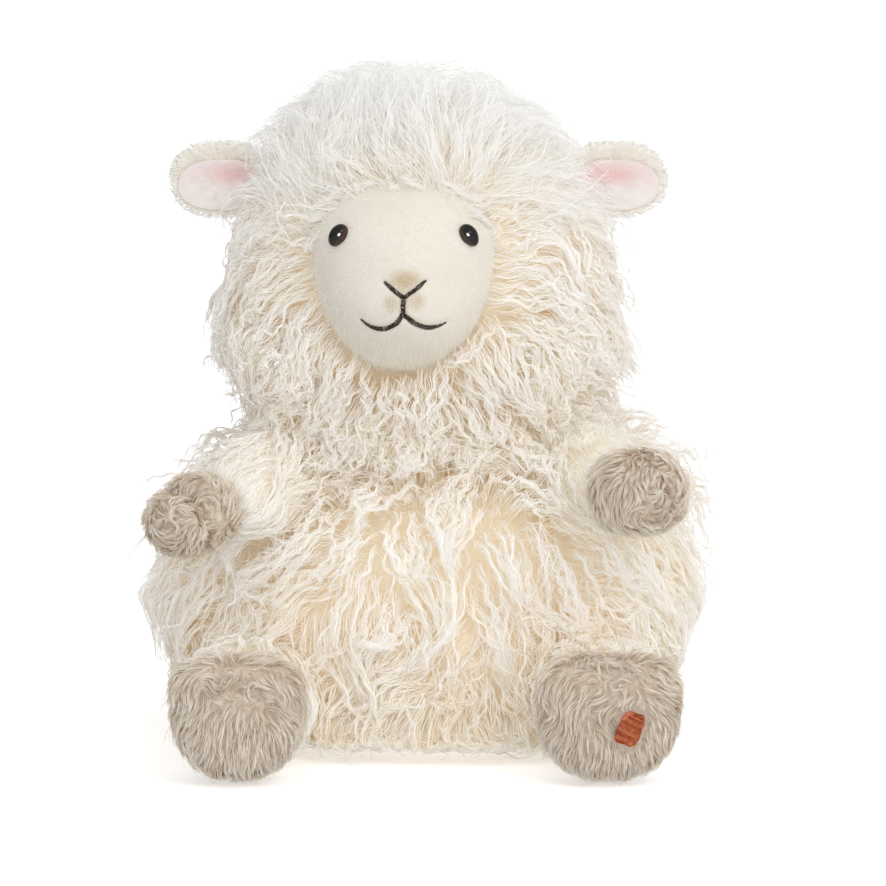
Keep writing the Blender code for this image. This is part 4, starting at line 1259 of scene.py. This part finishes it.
def face_form_inset(s, a):
    lat = (s - 0.5) * math.pi
    n = np.stack([np.cos(lat) * np.cos(a), np.cos(lat) * np.sin(a), np.sin(lat)], -1)
    p = face_point(n) - FACE_AT
    return FACE_AT + p * (1 - 0.0034 / np.maximum(np.linalg.norm(p, axis=-1, keepdims=True), 1e-6))


face_form = globe(120, 84, lambda s, a: face_point(np.stack([
    np.cos((s - 0.5) * math.pi) * np.cos(a), np.cos((s - 0.5) * math.pi) * np.sin(a), np.sin((s - 0.5) * math.pi)], -1)))
FACE_LINES = (NOSE_LEFT, NOSE_RIGHT, STEM, MOUTH_LEFT, MOUTH_RIGHT)


def edge_of_face(points):
    """0 in the middle of the face to 1 at its outline, seen from the front."""
    dx = np.abs(points[:, 0] - FACE_AT[0]) / face_width(points[:, 2])
    dz = np.abs(points[:, 2] - FACE_AT[2]) / FACE_SEMI[2]
    return (dx ** FACE_P + dz ** FACE_P) ** (1 / FACE_P)


def hairline():
    """Short soft hair along the seam between the face and the wool."""
    rng = np.random.default_rng(17)
    roots = face_form.scatter(spaced(1.9), rng, keep=lambda p: (p[:, 1] < -0.044) & (edge_of_face(p) > 0.88))
    edge = edge_of_face(roots)
    high = ease(0.212, 0.240, roots[:, 2])
    roots = roots[edge > 0.975 - 0.045 * high + drift(roots, 0.011, 93)[:, 0] * 0.016]
    roots = roots[(roots[:, 2] > 0.224) & (drift(roots, 0.013, 94)[:, 1] > -0.35)]
    count = len(roots)
    high = ease(0.222, 0.240, roots[:, 2])
    leader, owner = tufts(roots, 0.0060, rng)
    many = owner.max() + 1
    own = rng.normal(0, 0.50, (many, 3))[owner] * (0.35 + 0.65 * high[:, None])
    inward = np.where((rng.random(many)[owner] < 0.42) & (high > 0.5), -1.0, 1.0)

    def comb(q, n, t):
        rel = (q - FACE_AT) * (1, 0, 1)
        return unit(rel) * inward[:, None] + np.array((0, 0.25, -0.15)) + drift(q, 0.012, 91) * 0.40 + own

    length = rng.uniform(0.010, 0.017, count) * (1 + 0.25 * high) * np.where(inward < 0, 0.68, 1.0)
    height = rng.uniform(0.0012, 0.0040, count) + 0.0030 * high * rng.random(many)[owner]
    path, tops = locks(face_form, roots, length, height, comb, rise=0.5, steps=7)
    path = gathered(path, leader, 0.5)
    p, lock, share = strands(path, tops, 6, 7, rng, root=0.0016, tip=0.0008, gather=1.0, amp=0.00008 + 0.00024 * high, wave=0.010, loose=0.10, jitter=1.0)
    pile("hairline_wool", p, share, 0.00012, CROWN, "head", rng, lock, None, np.clip(0.30 + share * 0.7, 0, 1))


def fuzz():
    """The velour's own short nap, combed down and away from the nose, and clear of the stitching."""
    rng = np.random.default_rng(18)

    def keep(p):
        x, z = p[:, 0] - FACE_AT[0], p[:, 2] - FACE_AT[2]
        far = np.min([lines_far(x, z, line) for line in FACE_LINES], axis=0)
        eyes = np.min([np.hypot((x - SIGN[side] * EYE_SPREAD) / 0.0058, (z - EYE_HEIGHT + FACE_AT[2]) / 0.0070) for side in SIGN], axis=0)
        return (p[:, 1] < -0.055) & (far > 0.0011) & (eyes > 1.0) & (edge_of_face(p) < 1.0)

    roots = face_form.scatter(spaced(1.15), rng, keep=keep)
    count = len(roots)

    def comb(q, n, t):
        rel = (q - FACE_AT - (0, 0, 0.004)) * (1, 0, 1)
        return unit(rel) * 0.8 + np.array((0, 0, -0.55)) + drift(q, 0.014, 92) * 0.30

    chin = ease(-0.016, -0.034, roots[:, 2] - FACE_AT[2])
    path, tops = locks(face_form, roots, rng.uniform(0.0013, 0.0021, count) * (1 + 0.9 * chin), rng.uniform(0.0003, 0.0007, count) * (1 + 0.8 * chin), comb, rise=0.5, steps=4)
    p, lock, share = strands(path, tops, 2, 4, rng, root=0.0006, tip=0.0006, gather=1.0, amp=0.00004, wave=0.006, loose=0.1, jitter=1.5)
    pile("face_nap", p, share, 0.000075, NAP, "head", rng, lock, None, share)


hairline()
fuzz()
dressed(wad(), "head_filling", INSIDE["polyester_filling"], "head", ("head_stuffing",))

# ---------------------------------------------------------------- ears
for side, sign in SIGN.items():
    hinge = np.array(EAR_HINGES[side])
    shown = EAR_LENGTH + 0.0090  # its root runs on into the wool
    at = hinge + (sign * (EAR_LENGTH - shown / 2), 0, 0)

    def ear_place(s, a, front):
        """Half of a paddle that is cupped towards the front, its rim rolled over the lining."""
        lat = (s - 0.5) * math.pi
        n = np.stack([np.cos(lat) * np.cos(a), np.cos(lat) * np.sin(a), np.sin(lat)], -1)
        grow = (np.abs(n) ** 2.3).sum(-1, keepdims=True) ** (-1 / 2.3)
        n = n * grow
        along = n[..., 0] * sign
        wide = 1.0 + 0.16 * np.maximum(-along, 0.0)
        scale, tall = (0.89, 0.72) if front else (1.0, 1.0)
        x = n[..., 0] * (shown / 2 - 0.0018) * scale
        z = n[..., 2] * (EAR_WIDTH / 2 - 0.0018) * wide * tall - (0.0026 if front else 0.0)
        edge = np.clip(np.hypot(n[..., 0] * scale, n[..., 2] * scale), 0, 1)
        cup = 0.0030 * (edge ** 2 - 0.35)
        if front:
            y = np.where(n[..., 1] < 0, n[..., 1] * 0.0010, n[..., 1] * 0.0005) - 0.0012 - cup * 0.6
        else:
            y = np.where(n[..., 1] > 0, n[..., 1] * 0.0026, n[..., 1] * 0.0014) + 0.0012 - cup * 0.8
        return np.stack([x, y, z], -1) + at

    back = globe(48, 40, lambda s, a: ear_place(s, a, False))
    lining = globe(48, 40, lambda s, a: ear_place(s, a, True))
    body = "ear_" + side
    dressed(back, "ear_%s_shell" % side, SLEEVE_BASE, body, ("ear_%s_back" % side,))
    dressed(lining, "ear_%s_lining_pile" % side, PINK, body, ("ear_%s_lining" % side,))
    rng = np.random.default_rng(40 + int(sign))

    def ear_comb(q, n, t, at=at, sign=sign):
        rel = (q - at) * (1, 0, 1)
        return unit(rel) + np.array((sign * 0.7, 0, 0)) + drift(q, 0.02, 41) * 0.35

    def ear_keep(p, at=at):
        rel = (p - at) / (shown / 2, 1, EAR_WIDTH / 2)
        return (p[:, 1] > at[1] + 0.0003) | (np.hypot(rel[:, 0] / 0.87, (rel[:, 2] + 0.155) / 0.72) > 0.95)

    roots = back.scatter(spaced(1.20), rng, keep=ear_keep)
    count = len(roots)
    path, tops = locks(back, roots, rng.uniform(0.0035, 0.0060, count), rng.uniform(0.0014, 0.0028, count), ear_comb, rise=0.4, steps=5)
    p, lock, share = strands(path, tops, 4, 5, rng, root=0.0009, tip=0.0006, gather=1.0, amp=0.0001, wave=0.006, loose=0.1, jitter=1.5)
    pile("ear_%s_plush" % side, p, share, 0.00013, EAR_WHITE, body, rng, lock, None, np.clip(share + 0.15, 0, 1))

# ---------------------------------------------------------------- arms
for side, (pivot, paw_middle) in ARMS.items():
    pivot = np.array(pivot)
    along = np.array(paw_middle) - pivot
    axes = basis(along)
    body = "arm_" + side

    def to_world(local, pivot=pivot, axes=axes):
        return pivot + local @ axes

    def sleeve_place(s, a):
        r = ARM_R - 0.0026
        t = np.clip((s - 0.35) / 0.65, 0, 1)
        root = np.clip(s / 0.35, 0, 1)
        angle = (root - 1) * math.pi / 2
        radius = np.where(s < 0.35, r * np.cos(angle), r * (1 + 0.05 * np.sin(t * math.pi)) * np.maximum(1 - np.clip((t - 0.92) / 0.08, 0, 1) ** 2, 0.0) ** 0.5)
        z = np.where(s < 0.35, r * np.sin(angle), t * ARM_LENGTH)
        return to_world(np.stack([radius * np.cos(a), radius * np.sin(a), z], -1))

    sleeve = globe(40, 36, sleeve_place)
    dressed(sleeve, "arm_%s_sleeve_base" % side, SLEEVE_BASE, body, ("arm_%s_sleeve" % side,))

    def paw_place(s, a, side=side):
        """A mitten: on the right with a waist that parts its tip from the rest, on the left with a dent in its end."""
        lat = (s - 0.5) * math.pi
        x, y, z = np.cos(lat) * np.cos(a), np.cos(lat) * np.sin(a), np.sin(lat)
        share = np.clip(z * 0.5 + 0.5, 0, 1)
        wide, high = PAW_WIDE - 0.0040, PAW_HIGH - 0.0040
        if side == "right":
            round_it = (1 - 0.36 * np.exp(-(((share - 0.62) / 0.070) ** 2))) * (1 - 0.08 * share)
            px, py, dent = x * wide * round_it, y * high * round_it, 0.0
        else:
            grow = (np.abs(x) ** 2.6 + np.abs(y) ** 2.6 + 1e-9) ** (-1 / 2.6) * np.hypot(x, y)
            px, py = x * wide * grow, y * high * grow
            dent = 0.0075 * np.exp(-(((x - 0.22 + 0.25 * y) / 0.10) ** 2) - (((y - 0.06) / 0.34) ** 2)) * (z > 0)
        pz = ARM_LENGTH - 0.0030 + PAW_LENGTH * (z * 0.5 + 0.5) - dent
        return to_world(np.stack([px, py, pz], -1))

    paw = globe(64, 56, paw_place)
    dressed(paw, "paw_%s_base" % side, HOOF_BASE, body, ("paw_%s" % side,))
    rng = np.random.default_rng(50 + int(SIGN[side]))
    way = axes[2]

    def reach_of(p, pivot=pivot, way=way):
        return (p - pivot) @ way

    def sleeve_comb(q, n, t, way=way):
        return way * 1.0 + np.array((0, 0, -0.30)) + drift(q, 0.03, 51) * 0.30

    if side == "right":
        # long silky wool that runs down the arm and over the edge of the paw
        roots = sleeve.scatter(spaced(2.3), rng, keep=lambda p: reach_of(p) > -0.008)
        count = len(roots)
        leader, owner = tufts(roots, 0.0085, rng)
        many = owner.max() + 1
        own = rng.normal(0, 0.16, (many, 3))[owner]
        path, tops = locks(
            sleeve, roots, rng.uniform(0.014, 0.021, count) * (1 - 0.45 * ease(0.014, 0.030, reach_of(roots))), rng.uniform(0.0022, 0.0050, count),
            lambda q, n, t: sleeve_comb(q, n, t) + own, rise=0.35, steps=8,
        )
        path = gathered(path, leader, 0.45)
        p, lock, share = strands(path, tops, 8, 8, rng, root=0.0019, tip=0.0009, gather=1.0, amp=rng.gamma(4.0, 0.00009, count), wave=0.014, loose=0.1, jitter=0.8, group=owner)
        pile("arm_right_sleeve_plush", p, share, 0.00015, SLEEVE, body, rng, lock, None, np.clip(share + 0.1, 0, 1))
    else:
        roots = sleeve.scatter(spaced(1.40), rng, keep=lambda p: reach_of(p) > -0.008)
        count = len(roots)
        fuller = ease(0.022, 0.002, reach_of(roots)) * ease(-0.3, 0.5, (roots - pivot)[:, 2] / ARM_R)
        path, tops = locks(
            sleeve, roots, rng.uniform(0.0060, 0.0095, count) * (1 + 0.7 * fuller), rng.uniform(0.0018, 0.0038, count) + 0.0080 * fuller * rng.uniform(0.7, 1.0, count),
            sleeve_comb, rise=0.6, steps=5,
        )
        p, lock, share = strands(path, tops, 5, 5, rng, root=0.0012, tip=0.0009, gather=1.0, amp=0.00010, wave=0.009, loose=0.1, jitter=1.5)
        pile("arm_left_sleeve_plush", p, share, 0.00013, SLEEVE, body, rng, lock, None, np.clip(share + 0.1, 0, 1))

    # wool of the shoulder, which starts on the body and ends on the sleeve
    def collar_place(s, a):
        t = np.clip((s - 0.3) / 0.7, 0, 1)
        angle = (np.clip(s / 0.3, 0, 1) - 1) * math.pi / 2
        r = 0.0150
        radius = np.where(s < 0.3, r * np.cos(angle), r)
        z = np.where(s < 0.3, -0.018 + r * np.sin(angle), -0.018 + t * (ARM_LENGTH + 0.018))
        return to_world(np.stack([radius * np.cos(a), radius * np.sin(a), z], -1))

    collar = globe(40, 40, collar_place)
    roots = collar.scatter(spaced(2.8), rng, keep=lambda p: (reach_of(p) < 0.010) & (reach_of(p) > -0.030))
    found, normals = body_skin.nearest(roots)
    roots = roots[((roots - found) * normals).sum(1) > -0.0005]
    count = len(roots)
    leader, owner = tufts(roots, 0.0100, rng)
    many = owner.max() + 1
    smooth = side == "left"
    own = rng.normal(0, 0.12 if smooth else 0.22, (many, 3))[owner]
    tall = rng.uniform(0.0045, 0.0085, count) + 0.0050 * ease(0.0, -0.020, reach_of(roots)) * ease(-0.2, 0.6, (roots - pivot)[:, 2] / ARM_R)
    path, tops = locks(
        collar, roots, rng.uniform(0.020, 0.032, count) * (1.0 if side == "right" else 0.75), tall,
        lambda q, n, t: sleeve_comb(q, n, t) + own, rise=0.25, flick=rng.uniform(-0.003, 0.002, count), steps=9,
    )
    path = gathered(path, leader, rng.uniform(0.4, 0.8, many)[owner])
    p, lock, share = strands(
        path, tops, 9, 10, rng, root=0.0029, tip=0.0014 if smooth else 0.0007, amp=rng.gamma(5.0, 0.00005 if smooth else 0.00019, many)[owner],
        wave=rng.uniform(0.012, 0.019, many)[owner], group=owner,
    )
    pile("shoulder_%s_wool" % side, p, share, 0.00016, SLEEVE if smooth else WOOL, ("torso", body, pivot - way * 0.014, pivot + way * 0.012), rng, lock, None, np.clip(share * 0.85 + 0.15, 0, 1))

    def paw_comb(q, n, t, way=way, pivot=pivot, side=side):
        rel = q - pivot
        rel = rel - dot(rel, way) * way
        round_it = np.cross(way, rel / 0.018)
        if side == "left":
            return way * 0.15 + round_it * 0.95 + drift(q, 0.022, 53) * 0.45 + drift(q, 0.009, 54) * 0.25
        return way * 0.35 + round_it * 0.25 + np.array((0, 0, -0.35)) + drift(q, 0.022, 53) * 0.7 + drift(q, 0.009, 54) * 0.4

    roots = paw.scatter(spaced(1.55), rng, keep=lambda p: reach_of(p) > ARM_LENGTH + 0.002)
    local = (roots - pivot) @ axes.T
    shaded_dent = (((local[:, 0] / PAW_WIDE - 0.22 + 0.25 * local[:, 1] / PAW_HIGH) / 0.085) ** 2 + ((local[:, 1] / PAW_HIGH - 0.06) / 0.26) ** 2 < 1) & (local[:, 2] > ARM_LENGTH + PAW_LENGTH * 0.6)
    # no strands in the left paw's dent, so the darker base shows there as painted shade in the crease
    if side == "left":
        roots = roots[~shaded_dent]
    count = len(roots)
    path, tops = locks(paw, roots, rng.uniform(0.0055, 0.0090, count), rng.uniform(0.0020, 0.0042, count), paw_comb, rise=0.5, steps=6)
    p, lock, share = strands(path, tops, 7, 6, rng, root=0.0012, tip=0.0004, gather=1.0, amp=0.00008, wave=0.010, loose=0.08, jitter=0.8)
    pile("paw_%s_plush" % side, p, share, 0.00012, HOOF, body, rng, lock, None, share, lock_shade=0.05)

# ---------------------------------------------------------------- legs
PATCH_TILT = math.radians(36)
for side, (pivot, along, wide, high) in LEGS.items():
    pivot = np.array(pivot)
    axes = basis(along)
    way = axes[2]
    body = "leg_" + side

    def to_world(local, pivot=pivot, axes=axes):
        return pivot + local @ axes

    def leg_place(s, a):
        r = LEG_R - 0.0050
        t = np.clip((s - 0.35) / 0.65, 0, 1)
        root = np.clip(s / 0.35, 0, 1)
        angle = (root - 1) * math.pi / 2
        radius = np.where(s < 0.35, r * np.cos(angle), r * np.maximum(1 - np.clip((t - 0.92) / 0.08, 0, 1) ** 2, 0.0) ** 0.5)
        z = np.where(s < 0.35, r * np.sin(angle), t * LEG_LENGTH)
        return to_world(np.stack([radius * np.cos(a), radius * np.sin(a), z], -1))

    leg = globe(40, 30, leg_place)
    dressed(leg, "leg_%s_undercoat" % side, SLEEVE_BASE, body, ("leg_%s_fleece" % side,))

    def foot_place(s, a, wide=wide, high=high):
        """A rounded block with a nearly flat sole, narrower below than above."""
        inset = 0.0042
        t = np.clip(s, 0, 1)
        angle = (t - 0.5) * math.pi
        z = np.sin(angle)
        power = 2.0 + (1.5 * (np.sin(a) > 0) + 0.4) * ease(-0.6, 0.4, z)
        blunt = np.where(z > 0, np.maximum(1 - np.abs(z) ** 5.4, 0.0) ** 0.5, np.maximum(1 - np.abs(z) ** 2.4, 0.0) ** 0.5)
        c, d = np.cos(a), np.sin(a)
        square = (np.abs(c) ** power + np.abs(d) ** power) ** (-1 / power)
        x = c * square * (wide - inset) * blunt
        y = d * square * (high - inset) * blunt
        x = x * (1 + 0.11 * y / high)
        return to_world(np.stack([x, y, LEG_LENGTH - 0.004 + (FOOT_LENGTH + 0.004 - 0.0024) * (z * 0.5 + 0.5)], -1))

    foot = globe(64, 48, foot_place)
    dressed(foot, "foot_%s_base" % side, HOOF_BASE, body, ("foot_%s" % side,))
    rng = np.random.default_rng(60 + int(SIGN[side]))
    reach = lambda p, pivot=pivot, way=way: (p - pivot) @ way

    def leg_comb(q, n, t, way=way):
        return way * 0.9 + np.array((0, 0, -0.7)) + drift(q, 0.03, 61) * 0.4 + drift(q, 0.012, 62) * 0.3

    roots = leg.scatter(spaced(3.8), rng, keep=lambda p: reach(p) > -0.014)
    roots = roots[roots[:, 2] > 0.006]
    count = len(roots)
    leader, owner = tufts(roots, 0.0110, rng)
    many = owner.max() + 1
    path, tops = locks(leg, roots, rng.uniform(0.022, 0.034, count), rng.uniform(0.0040, 0.0120, count), leg_comb, rise=0.35, flick=rng.uniform(-0.002, 0.001, count), steps=9)
    path = gathered(path, leader, rng.uniform(0.4, 0.8, many)[owner])
    p, lock, share = strands(
        path, tops, 9, 10, rng, root=0.0028, tip=0.0006, amp=rng.gamma(5.0, 0.00019, many)[owner], wave=rng.uniform(0.010, 0.016, many)[owner], group=owner
    )
    pile("leg_%s_wool" % side, p, share, 0.00018, WOOL, body, rng, lock, None, np.clip(share * 0.9 + 0.1, 0, 1))

    swirl = to_world(np.array((0.0, 0.0090, LEG_LENGTH + FOOT_LENGTH)))

    def foot_comb(q, n, t, swirl=swirl, way=way):
        rel = (q - swirl) * (1, 0.3, 1)
        far = np.linalg.norm(rel, axis=1, keepdims=True)
        out = rel / np.maximum(far, 1e-6)
        wobble = drift(q, 0.010, 63) * (0.40 + 1.5 * ease(0.017, 0.005, far))
        return out * 0.75 + np.array((0, 0, -0.95)) + drift(q, 0.03, 64) * 0.35 + wobble

    roots = foot.scatter(spaced(1.74), rng, keep=lambda p: (reach(p) > LEG_LENGTH - 0.003) & (p[:, 2] > 0.0035))
    count = len(roots)
    path, tops = locks(foot, roots, rng.uniform(0.0070, 0.0110, count), rng.uniform(0.0018, 0.0042, count), foot_comb, rise=0.5, steps=6)
    p, lock, share = strands(path, tops, 6, 6, rng, root=0.0013, tip=0.0004, gather=1.0, amp=0.00008, wave=0.011, loose=0.06, jitter=0.8)
    if side == "left":
        middle = to_world(np.array((0, 0, 0))) + way * (LEG_LENGTH + FOOT_LENGTH) + (0.0075, 0, -0.0020)
        rel = (p[:, :, :] - middle)
        tx = rel[..., 0] * math.cos(PATCH_TILT) - rel[..., 2] * math.sin(PATCH_TILT)
        tz = rel[..., 0] * math.sin(PATCH_TILT) + rel[..., 2] * math.cos(PATCH_TILT)
        over = (((tx / 0.0062) ** 2 + (tz / 0.0090) ** 2) < 1) & (rel[:, :1, 1] < 0.006)
        first = np.where(over.any(1), over.argmax(1), p.shape[1])
        kept = np.minimum((first - 0.6) / (p.shape[1] - 1), 1.0)[:, None, None]
        p = p[:, :1] + (p - p[:, :1]) * kept  # strands that would lie over the patch end at its edge
        stays = first > 1
        p, lock, share = p[stays], lock[stays], share[stays]
    pile("foot_%s_plush" % side, p, share, 0.00012, HOOF, body, rng, lock, None, share, lock_shade=0.06)

# the plain oval of satin stitch on the left sole
pivot, way = np.array(LEGS["left"][0]), unit(np.array(LEGS["left"][1], float))
middle = pivot + way * (LEG_LENGTH + FOOT_LENGTH + 0.0014) + (0.0075, 0, -0.0020)
u, v, w = basis(way)
rng = np.random.default_rng(70)
rows = []
for k in np.linspace(-0.94, 0.94, 34):
    half = math.sqrt(1 - k * k)
    base = np.array((0.0, k))
    ends = [base + np.array((-half, -0.08)), base + np.array((half, 0.08))]
    t = np.linspace(0, 1, 9)
    ragged = 1 + rng.normal(0, 0.05)
    x = (ends[0][0] + (ends[1][0] - ends[0][0]) * t) * 0.0052 * ragged
    y = (ends[0][1] + (ends[1][1] - ends[0][1]) * t) * 0.0080
    x, y = x * math.cos(PATCH_TILT) + y * math.sin(PATCH_TILT), y * math.cos(PATCH_TILT) - x * math.sin(PATCH_TILT)
    z = 0.0008 * np.sin(t * math.pi) ** 0.5 + rng.normal(0, 0.00004)
    rows.append(middle + x[:, None] * u + y[:, None] * v + z[:, None] * w)
rows = np.array(rows)
thick = np.full(rows.shape[:2], 0.00032)
thick[:, -1] = 0
patch = pile_object("foot_badge_stitching", rows, thick, np.ones(rows.shape[:2]), np.ones((len(rows), 1)))
patch.data.materials.append(RUST)
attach(patch, "leg_left")
nodes["foot_badge"].data.materials.clear()
nodes["foot_badge"].data.materials.append(RUST)

# ---------------------------------------------------------------- tail
axes = basis(TAIL_AIM, (1, 0, 0))


def tail_place(s, a):
    r = TAIL_R - 0.0030
    t = np.clip((s - 0.4) / 0.6, 0, 1)
    angle = (np.clip(s / 0.4, 0, 1) - 1) * math.pi / 2
    radius = np.where(s < 0.4, r * np.cos(angle), r * np.maximum(1 - t ** 3, 0.0) ** 0.5)
    z = np.where(s < 0.4, r * np.sin(angle), (TAIL_LENGTH - TAIL_R - 0.003) * np.sin(t * math.pi / 2))
    return np.array(TAIL_AT) + np.stack([radius * np.cos(a), radius * np.sin(a), z], -1) @ axes


tail = globe(36, 26, tail_place)
dressed(tail, "tail_undercoat", UNDER, "tail", ("tail_fleece",))
rng = np.random.default_rng(80)
roots = tail.scatter(spaced(2.5), rng, keep=lambda p: ((p - TAIL_AT) @ axes[2]) > -0.004)
count = len(roots)
path, tops = locks(
    tail, roots, rng.uniform(0.014, 0.024, count), rng.uniform(0.0035, 0.0095, count),
    lambda q, n, t: axes[2] * 1.0 + np.array((0, 0, -0.5)) + drift(q, 0.02, 81) * 0.35, rise=0.3, flick=0.001, steps=8,
)
p, lock, share = strands(path, tops, 7, 12, rng, root=0.0024, tip=0.0006, amp=rng.gamma(4.0, 0.00022, count), wave=rng.uniform(0.0080, 0.012, count))
pile("tail_wool", p, share, 0.00026, WOOL, "tail", rng, lock, None, np.clip(share * 0.9 + 0.1, 0, 1))

print("PILE", sum(totals.values()), totals)

# ---------------------------------------------------------------- floor, light and camera
floor_mesh = bpy.data.meshes.new("floor")
floor_mesh.from_pydata([(-400, -400, -0.0004), (400, -400, -0.0004), (400, 400, -0.0004), (-400, 400, -0.0004)], [], [(0, 1, 2, 3)])
floor = bpy.data.objects.new("floor", floor_mesh)
bpy.context.scene.collection.objects.link(floor)
paper, tree, shader = tree_of("paper")
tree.links.new(ramp(tree, noise_of(tree, 3.0), ((0.3, (0.985, 0.985, 0.985)), (0.7, (0.995, 0.995, 0.995)))), shader.inputs["Base Color"])
shader.inputs["Roughness"].default_value = 0.9
shader.inputs["Emission Color"].default_value = (1.0, 1.0, 1.0, 1.0)
shader.inputs["Emission Strength"].default_value = 0.33
floor_mesh.materials.append(paper)
floor.visible_diffuse = False  # the paper stays white without lighting the wool from below

world = bpy.data.worlds.new("studio")
world.use_nodes = True
sky = world.node_tree
toward_light = node(sky, "ShaderNodeVectorMath", operation="DOT_PRODUCT")
sky.links.new(node(sky, "ShaderNodeTexCoord").outputs["Generated"], toward_light.inputs[0])
toward_light.inputs[1].default_value = (0.145, -0.34, 0.19)
level = node(sky, "ShaderNodeMath", operation="ADD")
sky.links.new(toward_light.outputs["Value"], level.inputs[0])
level.inputs[1].default_value = 0.655
seen = node(sky, "ShaderNodeLightPath").outputs["Is Camera Ray"]
backdrop = node(sky, "ShaderNodeMath", operation="MAXIMUM")  # plain white where the camera sees it
sky.links.new(level.outputs[0], backdrop.inputs[0])
sky.links.new(seen, backdrop.inputs[1])
sky.nodes["Background"].inputs[0].default_value = (1.0, 1.0, 1.0, 1.0)
sky.links.new(backdrop.outputs[0], sky.nodes["Background"].inputs[1])
bpy.context.scene.world = world


def softbox(name, at, aim_at, size, power, colour=(1, 1, 1)):
    data = bpy.data.lights.new(name, "AREA")
    data.shape = "DISK"
    data.size = size
    data.energy = power
    data.color = colour
    made = bpy.data.objects.new(name, data)
    bpy.context.scene.collection.objects.link(made)
    made.location = at
    made.rotation_mode = "QUATERNION"
    made.rotation_quaternion = (Vector(aim_at) - Vector(at)).to_track_quat("-Z", "Y")
    return made


softbox("key", (0.75, -1.4, 1.2), (0, 0, 0.13), 0.45, 3.6, (1.0, 0.985, 0.96))
gleam = softbox("gleam", (0.0, -2.1, 0.36), (0, 0, 0.2), 1.1, 150.0)
gleam.visible_diffuse = False  # only seen mirrored in the eyes' gloss
gleam.visible_camera = False

ELEVATION = math.radians(7.0)
DISTANCE = 1.75
target = Vector((0.0081, -0.0300, 0.1389))
camera_data = bpy.data.cameras.new("camera")
camera = bpy.data.objects.new("camera", camera_data)
bpy.context.scene.collection.objects.link(camera)
toward = Vector((0.0, -math.cos(ELEVATION), math.sin(ELEVATION)))
camera.location = target + toward * DISTANCE
camera.rotation_mode = "QUATERNION"
camera.rotation_quaternion = (-toward).to_track_quat("-Z", "Y")
camera_data.sensor_width = 36.0
camera_data.lens = 36.0 / 0.3987 * DISTANCE
camera_data.clip_start, camera_data.clip_end = 0.05, 800.0
bpy.context.scene.camera = camera

scene = bpy.context.scene
scene.view_settings.view_transform = "Standard"
scene.view_settings.look = "None"
scene.view_settings.exposure = 0.12
scene.cycles.max_bounces = 42
scene.cycles.diffuse_bounces = 40
